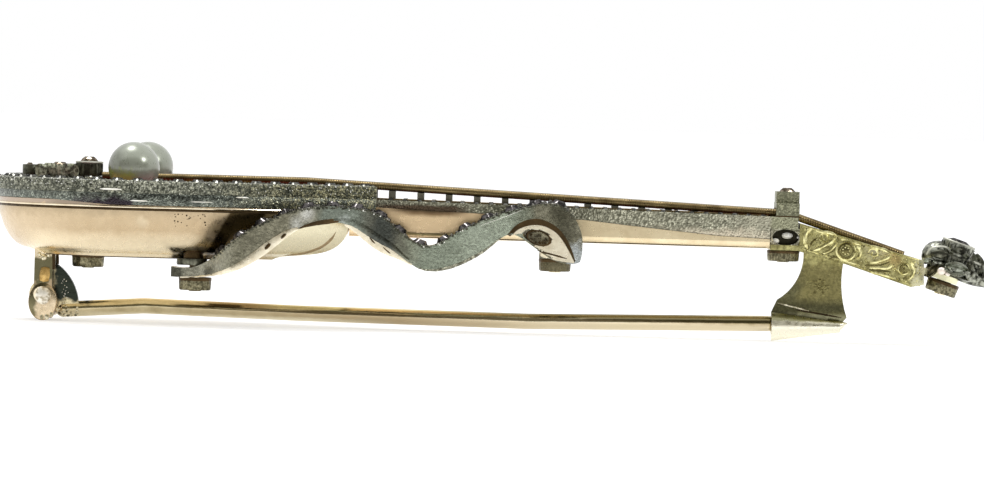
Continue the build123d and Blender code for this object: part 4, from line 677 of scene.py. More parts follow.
def bands(count, levels, closed=True):
    """Faces between so many levels of count points each."""
    faces = []
    for low in range(0, (levels - 1) * count, count):
        for index in range(count if closed else count - 1):
            after = (index + 1) % count
            faces.append((low + index, low + after, low + count + after, low + count + index))
    return faces


def skin(shape, rings, look=0, caps=True, closed=True):
    """Faces between rings of as many points each."""
    count = len(rings[0])
    faces = bands(count, len(rings), closed)
    if caps:
        faces.append(tuple(reversed(range(count))))
        faces.append(tuple((len(rings) - 1) * count + index for index in range(count)))
    shape.add([point for one in rings for point in one], faces, look)


def wire(shape, path, radius, sides=8, look=0):
    """Round wire along a path; the radius is one number or one per point."""
    path = [Vector(point) for point in path]
    radii = radius if isinstance(radius, list) else [radius] * len(path)
    rings = []
    side = None
    for index, point in enumerate(path):
        ahead = path[min(index + 1, len(path) - 1)] - path[max(index - 1, 0)]
        ahead.normalize()
        if side is None:
            side = frame_of(ahead)[0]
        side = (side - ahead * side.dot(ahead)).normalized()
        other = ahead.cross(side)
        rings.append([point + side * (radii[index] * c) + other * (radii[index] * s)
                      for c, s in spokes(sides)])
    skin(shape, rings, look)


def closed_wire(shape, points, radius, sides, look):
    """Round wire through points and back to the first one."""
    wire(shape, points + points[:1], radius, sides, look)


def ball(shape, centre, radius, look=0, sides=8, rings=5, normal=UP, wide=1.0, tall=1.0):
    """Round or oval bead; tall stretches it along its normal."""
    centre = Vector(centre)
    up = Vector(normal).normalized()
    points = []
    for level in range(1, rings):
        turn = math.pi * level / rings
        points += ring(centre - up * (radius * tall * math.cos(turn)), up, radius * math.sin(turn),
                       sides, wide)
    faces = bands(sides, rings - 1)
    bottom, top, high = len(points), len(points) + 1, len(points) - sides
    for index in range(sides):
        after = (index + 1) % sides
        faces += [(after, index, bottom), (high + index, high + after, top)]
    shape.add(points + [centre - up * radius * tall, centre + up * radius * tall], faces, look)


def turned(shape, centre, normal, profile, sides=32, look=0, wide=1.0, caps=True):
    """Turned form: the profile is (radius, height along the normal) from low to high."""
    up = Vector(normal).normalized()
    centre = Vector(centre)
    skin(shape, [ring(centre + up * height, up, radius, sides, wide) for radius, height in profile],
         look, caps)


def islands(node):
    """Corner points of each loose solid of a CAD node, in the drawing's millimetres."""
    mesh = frame["nodes"][node].data
    keys = [tuple(round(value * 1e7) for value in vertex.co) for vertex in mesh.vertices]
    solid_of = {key: {key} for key in keys}
    for face in mesh.polygons:
        merged = set().union(*(solid_of[keys[index]] for index in face.vertices))
        solid_of.update(dict.fromkeys(merged, merged))
    groups = {}
    for key, vertex in zip(keys, mesh.vertices):
        groups.setdefault(id(solid_of[key]), []).append(drawn(vertex.co))
    return list(groups.values())


def surface(node):
    """Tree of a CAD node's faces, for finding points on it."""
    mesh = frame["nodes"][node].data
    return BVHTree.FromPolygons([drawn(vertex.co) for vertex in mesh.vertices],
                                [tuple(face.vertices) for face in mesh.polygons])


def on(tree, x, z, lift=0.0, side=NEAR):
    """Point on a surface as seen along y from one side, lifted off it; where the line misses,
    the nearest point's depth is taken."""
    point, normal, _, _ = tree.ray_cast(Vector((x, side * OUTSIDE, z)), Vector((0, -side, 0)))
    if point is None:
        nearest = tree.find_nearest(Vector((x, side * 3.0, z)))[0]
        return Vector((x, nearest.y + side * lift, z))
    if normal.y * side < 0:
        normal = -normal
    return point + normal * lift


def smooth(points, count):
    """Points of a smooth line through the given ones."""
    points = [Vector(point) for point in points]
    padded = [2 * points[0] - points[1]] + points + [2 * points[-1] - points[-2]]
    spans = len(points) - 1
    line = []
    for number in range(count + 1):
        at = spans * number / count
        index = min(int(at), spans - 1)
        t = at - index
        a, b, c, d = padded[index:index + 4]
        line.append(0.5 * (2 * b + (c - a) * t + (2 * a - 5 * b + 4 * c - d) * t**2
                           + (3 * b - a - 3 * c + d) * t**3))
    return line


def laid(shape, tree, top, bottom, lift, look, across, along=40, sink=0.08):
    """Thin sheet on a surface between two lines of (x, z), its edges sunk in."""
    pairs = list(zip(smooth(top, along), smooth(bottom, along)))
    pairs = pairs[:1] + pairs + pairs[-1:]
    lines = []
    for level in range(-1, across + 2):
        share = min(max(level / across, 0.0), 1.0)
        line = []
        for index, (a, b) in enumerate(pairs):
            edge = level in (-1, across + 1) or index in (0, along + 2)
            line.append(on(tree, *(a + (b - a) * share), -sink if edge else lift))
        lines.append(line)
    skin(shape, lines, look, caps=False, closed=False)


def laid_wire(shape, tree, points, radius, look=0, count=24, side=NEAR, lift=0.0, sides=6):
    """Wire on a surface through points of (x, z), thinner at its ends."""
    radii = [radius * min(1.0, 0.35 + 3.0 * min(index, count - index) / count)
             for index in range(count + 1)]
    wire(shape, [on(tree, x, z, lift, side) for x, z in smooth(points, count)], radii, sides, look)


def volute(x, z, first, last, start, turns, count=14):
    """Points of a flat spiral from its first radius to its last; start in turns."""
    points = []
    for number in range(count + 1):
        share = number / count
        turn = 2 * math.pi * (start + turns * share)
        radius = first + (last - first) * share
        points.append((x + radius * math.cos(turn), z + radius * math.sin(turn)))
    return points


# ---- outline of the body ----

def shoulder_turn():
    """Direction from the tail's centre to where the tail arc meets the shoulder arcs."""
    along = BODY_LENGTH - TAIL_RADIUS
    reach = math.hypot(along, HALF_NECK)
    spare = SHOULDER_RADIUS - TAIL_RADIUS
    lean = (SHOULDER_RADIUS**2 - spare**2 - reach**2) / (2 * spare * reach)
    return math.atan2(HALF_NECK, along) + math.acos(lean)


def arc(x, y, radius, first, last, step, ends=0):
    """(point, outward direction) pairs along an arc; with ends = 1 its last point too."""
    count = int((last - first) * radius / step)
    turns = [first + (last - first) * number / count for number in range(count + ends)]
    return [(Vector((x + radius * math.cos(turn), y + radius * math.sin(turn), 0)),
             Vector((math.cos(turn), math.sin(turn), 0))) for turn in turns]


def outline(step, trim=0.0):
    """(point, outward direction) pairs around the body, from the near side of the neck, past the
    tail, to the far side."""
    angle = shoulder_turn()
    centre_x = TAIL_RADIUS - (SHOULDER_RADIUS - TAIL_RADIUS) * math.cos(angle)
    centre_y = (TAIL_RADIUS - SHOULDER_RADIUS) * math.sin(angle)
    low = math.acos((BODY_LENGTH - trim - centre_x) / SHOULDER_RADIUS)
    side = (arc(centre_x, centre_y, SHOULDER_RADIUS, low, angle, step)
            + arc(TAIL_RADIUS, 0.0, TAIL_RADIUS, angle, math.pi, step, 1))
    mirror = [(Vector((p.x, -p.y, 0)), Vector((n.x, -n.y, 0))) for p, n in side]
    return mirror + list(reversed(side))[1:]


def beside(place, out, z):
    """Point at a height, so far outward of a place of the outline."""
    point, outward = place
    return point + outward * out + Vector((0, 0, z))


def border_relief():
    """Chased relief around the silver border: a smooth bevel below and rows of grains above, with white lines
    on it as painted highlights.
    """
    random.seed(3)
    base_z = box_of("soundboard")[0].z + 0.02
    # (outward, height) of the smooth bevel and of the edge over the grains
    bevel = ((-0.05, -0.30), (0.07, -0.26), (0.10, -0.05), (0.12, 0.2), (0.10, 0.42), (0.03, 0.50))
    # Where, from the tail, the bevel begins to lap over the gold, and where it does so fully
    lap_from, lap_to = 3.5, 8.0
    # (height, radius) of each row of grains
    grain_rows = ((0.58, 0.065), (0.70, 0.075), (0.82, 0.08), (0.94, 0.08), (1.06, 0.075), (1.17, 0.065))
    step, spacing, loose_grains = 0.055, 0.14, 620
    levels = [0.50 + 0.05 * number for number in range(17)]
    places = outline(step, trim=0.1)
    lift = np.zeros((len(places), len(levels)))
    for row_height, row_size in grain_rows:
        at = random.random() * 0.1
        while at < len(places):
            height = row_height + random.uniform(-0.03, 0.03)
            size = row_size * random.uniform(0.7, 1.15)
            for index in range(max(int(at - 3), 0), min(int(at + 4), len(places))):
                for level, z in enumerate(levels):
                    gap = ((index - at) * step)**2 + (z - height)**2
                    if gap < size * size:
                        lift[index, level] = max(lift[index, level], math.sqrt(size * size - gap) * 0.9)
            at += spacing / step * random.uniform(0.8, 1.35)
    shape = Shape()
    bevel_line, rough = [], []
    for place, lifts in zip(places, lift):
        lap = min(max((place[0].x - lap_from) / (lap_to - lap_from), 0.0), 1.0)
        bevel_line.append([beside(place, out, base_z + (up if up > 0 else up * lap)) for out, up in bevel])
        rough.append([beside(place, 0.03 + out, base_z + z) for out, z in zip(lifts, levels)]
                     + [beside(place, -0.12, base_z + levels[-1] + 0.04)])
    for number in range(loose_grains):
        place = random.choice(places)
        height = random.choice((random.uniform(0.5, 1.3), random.uniform(1.1, 1.35),
                                random.uniform(0.9, 1.3)))
        ball(shape, beside(place, 0.09, base_z + height), random.uniform(0.03, 0.07),
             number % 2 * 2, 5, 3)
    border = surface("silver_border")
    # White lines laid on the border: painted highlights
    for first, last, z, radius in BORDER_GLINTS:
        glint_line = ((first, z), ((first + last) / 2, z), (last, z))
        laid_wire(shape, border, glint_line, radius, 3, 12, lift=0.13)
    skin(shape, bevel_line, 1, caps=False, closed=False)
    skin(shape, rough, 0, caps=False, closed=False)
    shape.piece("border_relief", (BORDER_SILVER, BEVEL_SILVER, BRIGHT_SILVER, PAINTED_HIGHLIGHT_WHITE),
                sharp=45)


def rim_wires():
    """Polished gold wire along the band's lower edge, and the dark seam under it."""
    base_z = box_of("gold_frame")[1].z - 0.42
    places = outline(0.25)
    shape = Shape()
    wire(shape, [beside(place, -0.06, base_z + 0.07) for place in places], 0.075, 8, 0)
    wire(shape, [beside(place, -0.14, base_z - 0.07) for place in places[:-1]], 0.10, 6, 1)
    shape.piece("rim_wires", (POLISHED_GOLD, DARK_LINE))


def body_lines():
    """Dark lines where the bowl meets its floor and the neck, and the small pits beside them."""
    random.seed(11)
    bowl = surface("bowl_with_hinge")
    shape = Shape()
    wire(shape, [beside(place, -BOWL_FLOOR_INSET, BOWL_FLOOR - 0.02)
                 for place in outline(0.4, trim=9.0)], 0.05, 6)
    laid_wire(shape, bowl, BOWL_CREASE, 0.15, 1, count=36, lift=-0.08)
    for _ in range(26):
        x = random.uniform(12.0, 14.2)
        z = 7.42 - abs(random.gauss(0, 0.36))
        ball(shape, on(bowl, x, z, -0.03), random.uniform(0.04, 0.08), 0, 6, 4)
    shape.piece("body_lines", (DARK_LINE, BROWN_LINE))


# ---- ribbon ----

def side_hit(tree, x, z, end, step):
    """Height and point of the first place on the near side, from height z on towards end."""
    while (end - z) * step > 0:
        point = tree.ray_cast(Vector((x, -OUTSIDE, z)), Vector((0, 1, 0)))[0]
        if point is not None:
            return z, point
        z += step


def low_edge(tree, x):
    """Height and depth of the ribbon's near side at its lower edge."""
    z, _ = side_hit(tree, x, 3.0, 9.0, 0.02)
    return z, on(tree, x, z + 0.12).y


def ribbon_strip(shape, tree, table, look, proud=0.05, step=0.15):
    """Strip along the ribbon's lower edge; rows of (x, how far up its side, how far below)."""
    rings = []
    for x, up, down in smooth(table, int((table[-1][0] - table[0][0]) / step)):
        z, y = low_edge(tree, x)
        near, far = y - proud, y + 0.9
        corners = ((near, z + up), (near - 0.03, z + up * 0.5 - down * 0.5), (near, z - down),
                   (far, z - down), (far, z + 0.02))
        rings.append([Vector((x, *corner)) for corner in corners])
    skin(shape, rings, look)


def ribbon_details():
    """Gold backing with its pierced holes, dark strips of painted shade under the arch and over the end
    loop's inside, and the lug with a dark sleeve of painted shade around its stud.
    """
    tree = surface("ribbon")
    shape = Shape()
    # ARCH_SHADE is a dark strip of painted shade under the first arch
    for table, look, proud in ((BACKING_LEFT, 0, 0.05), (BACKING_RIGHT, 0, 0.02), (ARCH_SHADE, 1, 0.05),
                               (VALLEY_EDGE, 2, 0.05), (STEEL_RIGHT, 4, 0.05)):
        ribbon_strip(shape, tree, table, look, proud)
    for x, below, length, height, lean in BACKING_HOLES:
        edge_z, edge_y = low_edge(tree, x)
        path = [Vector((x + length * share * math.cos(lean), edge_y - 0.08,
                        edge_z - below + length * share * math.sin(lean)))
                for share in (-1, -0.6, 0, 0.6, 1)]
        wire(shape, path, [height * share for share in (0.4, 0.9, 1.0, 0.9, 0.4)], 8, 1)
    laid(shape, tree, UNDERSIDE_TOP, UNDERSIDE_LOW, 0.06, 0, 10)
    # A dark sheet of painted shade over the end loop's inside
    laid(shape, tree, UNDERSIDE_SHADE, UNDERSIDE_TOP, 0.09, 1, 3)
    laid_wire(shape, tree, EYE_SLIT, 0.06, 1, lift=0.06)
    laid_wire(shape, tree, RIBBON_LINE, 0.035, 6, lift=0.01)
    x, z, half_x, half_z, lean = EYE
    left_y, right_y = on(tree, x - 1.0, 7.0).y, on(tree, x + 1.0, 6.9).y
    levels = []
    for share, rise in ((1.06, 0.02), (1.0, 0.10), (0.86, 0.11), (0.78, 0.05), (0.3, 0.02)):
        levels.append([Vector((x + half_x * share * c,
                               left_y + (right_y - left_y) * (0.5 + half_x * share * c / 2) - rise,
                               z + half_z * share * s - lean * share * c)) for c, s in spokes(28)])
    skin(shape, levels[:3], 1)
    skin(shape, levels[2:], 5)
    lug_x, lug_y = LUG
    turned(shape, (lug_x, lug_y, 4.05), UP, ((0.98, 0.0), (1.02, 0.12), (1.0, 0.42)), 24, 3)
    # A dark sleeve of painted shade around the stud, under the lug
    turned(shape, (lug_x + 0.1, lug_y, 4.44), UP, ((0.64, 0.0), (0.66, 0.1), (0.60, 0.55)), 20, 1)
    shape.piece("ribbon_backing", (BACKING_GOLD, DARK_LINE, SILVER, DARK_SILVER, RIBBON_SILVER,
                                   DARK_EYE, BRIGHT_SILVER))


def ribbon_beads():
    """Line of beads along the ribbon's near upper edge, black, with some bright ones as painted glints in two
    stretches.
    """
    random.seed(4)
    tree = surface("ribbon")
    shape = Shape()
    x, end = 14.6, 38.4
    while x < end:
        z, point = side_hit(tree, x, 9.2, 3.5, -0.02)
        # Bright beads only in two stretches: painted glints
        shows_painted_glints = 23.5 < x < 26.0 or 28.0 < x < 31.6
        look = random.choice((0, 1, 1)) if shows_painted_glints else 1
        ball(shape, (x, point.y - 0.01, z - random.uniform(0.0, 0.12)), random.uniform(0.05, 0.10),
             look, 6, 4)
        x += random.uniform(0.10, 0.17)
    shape.piece("ribbon_beads", (BRIGHT_SILVER, DARK_SILVER))


# ---- head and catch ----

def rosette(shape, tree, x, z, radius, side):
    """Ring with a dark groove inside it and a grained dome in its middle."""
    for share, thickness, look, lift in ((1.0, 0.18, 0, 0.0), (0.74, 0.11, 1, -0.01)):
        circle = volute(x, z, radius * share, radius * share, 0.0, 1.0, 20)
        laid_wire(shape, tree, circle, radius * thickness, look, 28, side, lift)
    ball(shape, on(tree, x, z, -0.06, side), radius * 0.60, 1, 14, 8, (0, side, 0), 1.0, 0.35)
    reach = radius * 0.36
    for c, s in spokes(7):
        ball(shape, on(tree, x + reach * c, z + reach * s, 0.03, side), radius * 0.12, 0, 6, 4,
             (0, side, 0))


def head_relief():
    """Chased leaves, rosettes and edge lines on both sides of the head."""
    tree = surface("head_with_catch")
    shape = Shape()
    for side in (NEAR, FAR):
        for x, z, radius in HEAD_ROSETTES:
            rosette(shape, tree, x, z, radius, side)
        for *spiral, radius in HEAD_VOLUTES:
            laid_wire(shape, tree, volute(*spiral), radius, 0, 40, side, lift=-0.03)
        for half, *stroke in HEAD_LEAVES:
            laid_wire(shape, tree, stroke, half, 0, 20, side, lift=-0.45 * half, sides=8)
        for stroke in HEAD_CUTS:
            laid_wire(shape, tree, stroke, 0.06, 1, 20, side, lift=0.01)
        for line in (HEAD_TOP_LINE, HEAD_LOW_LINE):
            laid_wire(shape, tree, line, 0.05, 0, 40, side)
    random.seed(5)
    for number in range(420):
        x = random.uniform(53.6, 61.6)
        middle = 7.0 - 0.28 * (x - 53.5)
        z = middle + random.uniform(-0.8, 0.8)
        size = random.uniform(0.035, 0.075)
        for side in (NEAR, FAR):
            ball(shape, on(tree, x, z, -0.01, side), size, number % 3 % 2, 5, 3)
    shape.piece("head_chasing", (CHASED_GOLD, CHASED_DARK))


def catch_relief():
    """Painted highlight along the edge above the catch's roll and painted shade in the gap under it, the
    roll's tip and the plate's worn flower.
    """
    random.seed(9)
    tree = surface("head_with_catch")
    shape = Shape()
    flower_x, flower_z, flower_radius, petals = CATCH_FLOWER
    for side in (NEAR, FAR):
        # A bright wire as a painted highlight, and a dark one as painted shade in the gap
        laid_wire(shape, tree, CATCH_HIGHLIGHT_LINE, 0.085, 0, 20, side, lift=0.02)
        laid_wire(shape, tree, CATCH_SHADE_LINE, 0.06, 1, 24, side)
        for _ in range(70):
            turn = random.uniform(0, 2 * math.pi)
            reach = flower_radius * random.random() ** 0.7 * (0.75 + 0.25 * math.cos(petals * turn))
            place = on(tree, flower_x + reach * math.cos(turn), flower_z + reach * math.sin(turn),
                       -0.03, side)
            ball(shape, place, random.uniform(0.06, 0.12), random.choice((2, 2, 3)), 6, 4,
                 (0, side, 0), 1.3, 0.6)
    turned(shape, (56.1, 0.0, 1.05), (1.0, 0.0, 0.36),
           ((0.38, 0.0), (0.33, 0.2), (0.20, 0.5), (0.04, 0.80)), 20, 2)
    shape.piece("catch_lines", (SOLDER, DARK_LINE, GREEN_GOLD, CHASED_DARK))


def cage_lining():
    """Oval lining of the opening at the neck's end: its dark band and plug are painted shade inside it, and
    white beads are painted highlights on the screw's end.
    """
    shape = Shape()
    x, z = CAGE_MIDDLE
    for side in (NEAR, FAR):
        levels = [oval(x, side * y, z, half_x, half_z, 48, power) for half_x, half_z, power, y in
                  ((0.86, 0.52, 1.0, 1.35), (0.88, 0.54, 1.0, 1.9), (1.0, 0.66, 0.3, 1.92))]
        # The dark band and the plug below are painted shade
        skin(shape, levels[:2], 2, caps=False)
        skin(shape, levels[1:], 1, caps=False)
        turned(shape, (x, side * 1.2, z), (0, side, 0), ((0.60, 0.0), (0.58, 0.15), (0.3, 0.18)),
               24, 2, wide=1.6)
        # White beads: painted highlights on the screw's end
        for out, y, up, radius, sides, rings, wide, tall in (
                (0.12, 1.42, 0.12, 0.22, 14, 8, 1.7, 0.5), (-0.66, 1.6, -0.26, 0.20, 10, 6, 1.3, 0.6),
                (0.82, 1.7, 0.02, 0.08, 8, 6, 0.8, 0.6)):
            ball(shape, (x + out, side * y, z + up), radius, 0, sides, rings, (0, side, 0), wide, tall)
    shape.piece("cage_lining", (PAINTED_HIGHLIGHT_WHITE, SILVER, CAGE_PAINTED_SHADE))


# ---- hinge and pin ----

def hinge_details():
    """Domed cheek, rivet cap, orange inset, solder and a dark line of painted shade on both sides of the
    hinge's post.
    """
    shape = Shape()
    for side in (NEAR, FAR):
        face_y = side * 2.0
        skin(shape, [oval(3.31, face_y + side * rise, 1.26, 0.92 * share, 1.24 * share, 32)
                     for share, rise in ((1.0, -0.02), (0.97, 0.07), (0.88, 0.12), (0.5, 0.14))], 0)
        ball(shape, (3.33, face_y + side * 0.17, 1.66), 0.63, 1, 18, 10, (0, side, 0), 0.85, 0.35)
        for x, z, size in HINGE_SOLDER:
            ball(shape, (x, face_y + side * 0.03, z), size, 2, 8, 6, (0, side, 0), 0.8, 0.7)
        # A dark wire of painted shade beside the post
        wire(shape, [(x, side * 1.9, z) for x, z in HINGE_SHADE_LINE], 0.13, 8, 4)
        inset_x, inset_z = HINGE_INSET
        skin(shape, [[Vector((inset_x + x * size, face_y + side * rise, inset_z + z * size))
                      for x, z in HINGE_INSET_CORNERS]
                     for size, rise in ((1.0, 0.02), (0.96, 0.07), (0.6, 0.09))], 3)
    shape.piece("hinge_details", (CHEEK_GOLD, RIVET_SILVER, SOLDER, ORANGE_GOLD, DARK_LINE))


def pin_root():
    """Lumpy solder and coil at the pin's root, and white beads as painted highlights on its fin, which move
    with the pin.
    """
    random.seed(8)
    tree = surface("pin_stem")
    shape = Shape()
    for number in range(30):
        x = random.uniform(4.2, 5.6)
        z = random.uniform(0.25, 1.0)
        ball(shape, on(tree, x, z, -0.06), random.uniform(0.08, 0.14), number % 4 // 3, 7, 5)
    # White beads: painted highlights on the fin
    for x, z, size in FIN_GLINTS:
        ball(shape, on(tree, x, z, -0.02), size, 2, 6, 4)
    for x, z in COIL_GLINTS:
        ball(shape, on(tree, x, z, -0.02), 0.06, 0, 6, 4, tall=1.9)
    shape.piece("pin_root", (SOLDER, NUT_GOLD, PAINTED_HIGHLIGHT_WHITE), "pin")


# ---- tail and terminal ----

def leaf(shape, root, out, up, length, width, curl, look, ribs=3):
    """Cupped leaf with ribs: from its root outwards, rising and curling over at its tip."""
    root, out, up = Vector(root), Vector(out).normalized(), Vector(up).normalized()
    side = up.cross(out)
    lines = []
    along, across = 10, 12
    for level in range(along + 1):
        share = level / along
        half = width * 0.5 * math.sin(math.pi * (0.12 + 0.80 * share)) ** 0.8
        rise = curl * math.sin(math.pi * share * 0.75)
        middle = root + out * (length * share) + up * rise
        line = []
        for number in range(across + 1):
            turn = 2.0 * number / across - 1.0
            groove = 0.06 * width * math.cos(turn * math.pi * ribs)
            line.append(middle + side * (half * turn) + up * (0.22 * width * turn * turn + groove))
        lines.append(line + [point - up * (0.12 * width) for point in reversed(line)])
    skin(shape, lines, look)


def tail_leaves():
    """Ribbed leaves around the middle collet and the fluted drum beside it."""
    shape = Shape()
    for place, profile, sides, look, wide in TAIL_CUPS:
        turned(shape, place, UP, profile, sides, look, wide)
    middle = Vector(MIDDLE_COLLET)
    for c, s in spokes(14, 0.5):
        out = Vector((c, s, 0.0))
        leaf(shape, middle + out * 0.80, (out.x * 0.12, out.y * 0.12, 1.0), -out, 0.82, 0.52, -0.10, 0, 2)
    for x in (2.78, 5.12):
        for y in (-0.62, -0.2, 0.2, 0.62):
            up = (0, -1 if y < 0 else 1, 0)
            leaf(shape, (x, y, 9.55), (0.0, 0.1 * y, 1.0), up, 0.82, 0.62, 0.05, 0, 2)
    drum_x, drum_radius, drum_low, drum_top = DRUM
    for c, s in spokes(20):
        foot = Vector((drum_x, 0.0, drum_low)) + Vector((c, s, 0.0)) * drum_radius
        wire(shape, (foot, foot + Vector((0, 0, 0.8))), 0.06, 6, 1)
    closed_wire(shape, ring((drum_x, 0.0, drum_top), UP, drum_radius, 28), 0.07, 8, 2)
    shape.piece("tail_leaves", (LEAF_SILVER, DARK_SILVER, WORN_RIM))


def pearl_cups():
    """Gold cups that the pearls sit in, with a row of beads around each."""
    shape = Shape()
    for node in ("pearl_near", "pearl_far"):
        low, high = box_of(node)
        x, y = (low.x + high.x) / 2, (low.y + high.y) / 2
        turned(shape, (x, y, 8.47), UP, PEARL_CUP, 36)
        for point in ring((x, y, 9.06), UP, 1.37, 36):
            ball(shape, point, 0.085, 0, 6, 4)
    shape.piece("pearl_cups", (GREEN_CUP,))


def terminal_flower():
    """Silver flower on its plate: petals around the main collet, and three collets on stalks."""
    place = Vector(TERMINAL_PLACE)
    up = Vector(TERMINAL_UP)
    ahead = Vector((up.z, 0.0, -up.x))
    side = Vector((0, 1, 0))

    def at(x, y, z):
        return place + ahead * x + side * y + up * z

    shape = Shape()
    turned(shape, at(0, 0, 0), up, ((1.30, 0.0), (1.45, 0.08), (1.45, 0.55), (1.2, 0.7)), 32, 1)
    screw = ((TERMINAL_SCREW_RADIUS, 0.0), (TERMINAL_SCREW_RADIUS, TERMINAL_SCREW_LENGTH + 0.3))
    turned(shape, at(0, 0, -TERMINAL_SCREW_LENGTH), up, screw, 20, 2)
    wire(shape, smooth([at(0.3, 0, 0.35), at(1.6, 0, 0.3), at(2.58, 0, 0.45)], 10), 0.42, 10, 0)
    for x, y, radius, top in TERMINAL_CUPS:
        profile = [(radius * 0.62, 0.1), (radius * 0.75, top * 0.35), (radius * 0.98, top - 0.2),
                   (radius, top), (radius * 0.86, top + 0.02), (radius * 0.8, top - 0.16)]
        turned(shape, at(x, y, 0), up, profile, 28, 0)
        for c, s in spokes(14):
            low = at(x + radius * 0.7 * c, y + radius * 0.7 * s, top * 0.3)
            high = at(x + radius * 0.99 * c, y + radius * 0.99 * s, top - 0.12)
            wire(shape, (low, high), 0.05, 5, 1)
        closed_wire(shape, ring(at(x, y, top), up, radius * 0.95, 28), 0.07, 6, 3)
        if y:
            stalk = [at(x - 0.7, 0, 0.3), at(x - 0.2, y * 0.5, 0.25), at(x, y, 0.3)]
            wire(shape, smooth(stalk, 8), 0.22, 8, 0)
    lean = Vector(DOME_UP).normalized()
    levels = []
    for radius, height in DOME_PROFILE:
        middle = Vector(DOME_PLACE) + lean * height
        levels.append([middle + (point - middle) * radius
                       * (1.0 - 0.07 * abs(math.cos(4 * math.tau * index / 64)))
                       for index, point in enumerate(ring(middle, lean, 1.0, 64))])
    skin(shape, levels, 0)
    for sign in (NEAR, FAR):
        wire(shape, smooth([(x, sign * y, z) for x, y, z in DOME_ARC], 16), 0.07, 6, 3)
        for x, y, z, radius, look, sides, rings, wide, tall in DOME_BEADS:
            ball(shape, (x, sign * y, z), radius, look, sides, rings, (0, sign, 0), wide, tall)
        for (x, y, z), (out_x, out_z), *form in FLOWER_LEAVES:
            leaf(shape, (x, sign * y, z), (out_x, 0.0, out_z), (0.0, sign, 0.15), *form)
    for c, s in spokes(8):
        out = ahead * c + side * s
        leaf(shape, at(0.1, 0, 0.40) + out * 0.7, out - up * 0.12, up + out * 0.12, 1.25, 1.05, 0.2, 0)
    for x, y, radius, _ in TERMINAL_CUPS[1:]:
        for c, s in spokes(4, 0.5):
            out = ahead * c + side * s
            leaf(shape, at(x, y, 0.3) + out * radius * 0.7, out, up, 0.62, 0.62, 0.3, 0)
    shape.piece("terminal_flower", (FLOWER_SILVER, DARK_SILVER, NUT_GOLD, WORN_RIM, PALE_LEAF,
                                    PINK_SOLDER), sharp=50, stands_for=("terminal",))


def neck_trim():
    """Gold edges of the fingerboard, the dark line under the neck and the post's foot line."""
    shape = Shape()
    for y in (-1.42, 1.42):
        wire(shape, ((18.6, y, 8.77), (51.3, y, 8.34)), 0.06, 6, 0)
    under_neck = ((25.9, 6.26), (38.0, 6.26), (51.2, 6.24))
    laid_wire(shape, surface("gold_frame"), under_neck, 0.045, 1, 60)
    foot = [(51.8, -2.12), (53.4, -2.12), (53.4, 2.12), (51.8, 2.12)]
    closed_wire(shape, [Vector((x, y, 8.33)) for x, y in foot], 0.05, 6, 1)
    shape.piece("neck_trim", (STRING_GOLD, DARK_LINE))


# ---- stones ----

def stone_frame(points):
    """Low middle, axis, radius and height of a cut stone from its corners."""
    cloud = np.array([tuple(point) for point in points])
    middle = (cloud.min(0) + cloud.max(0)) / 2
    vectors = np.linalg.eigh(np.cov((cloud - cloud.mean(0)).T))[1]
    axis = Vector(vectors[:, 0])
    if axis.z < 0:
        axis.negate()
    heights = (cloud - middle) @ np.array(axis)
    reach = np.linalg.norm((cloud - middle) - np.outer(heights, np.array(axis)), axis=1).max()
    return Vector(middle) + axis * heights.min(), axis, reach, heights.max() - heights.min()


def cut(shape, low, axis, radius, height, domed):
    """Old-cut stone on its base: girdle, two rows of crown facets and a small table, which is
    look 0, the rest being look 1."""
    rows = ((1.0, 0.0), (1.0, 0.35), (0.84, 0.68 + 0.05 * domed), (0.50, 1.0 + 0.25 * domed))
    sides = 8
    rings = [ring(low + axis * (height * up), axis, radius * share, sides, turn=0.5 * max(number - 1, 0))
             for number, (share, up) in enumerate(rows)]
    faces = [tuple(reversed(range(sides)))]
    for index in range(sides):
        after = (index + 1) % sides
        faces.append((index, after, sides + after, sides + index))
        for level in (sides, 2 * sides):
            above = level + sides
            faces += [(level + index, level + after, above + index),
                      (level + after, above + after, above + index)]
    shape.add([point for one in rings for point in one], faces, 1)
    shape.add(rings[-1], [tuple(range(sides))], 0)


def collar(shape, low, axis, radius, height, prongs, bead):
    """Collar around a stone's girdle with round prongs over it, look 2."""
    profile = ((radius + 0.16, -0.02), (radius + 0.13, height * 0.35), (radius + 0.05, height * 0.5),
               (radius + 0.005, height * 0.42))
    turned(shape, low, axis, profile, 16, 2, caps=False)
    for point in ring(low + axis * (height * 0.5), axis, radius + 0.02, prongs, turn=0.25):
        ball(shape, point, bead * random.uniform(0.7, 1.2), 2, 6, 4, axis)


def stone_field(name, node, prongs, looks, bead=0.12, domed=0.0):
    """Each stone of a node in its own collar, as one piece; looks of table, crown and collar."""
    random.seed(21)
    shape = Shape()
    for points in islands(node):
        stone = stone_frame(points)
        cut(shape, *stone, domed)
        collar(shape, *stone, prongs, bead)
    shape.piece(name, looks, sharp=20, stands_for=(node,))


# ---- nuts ----

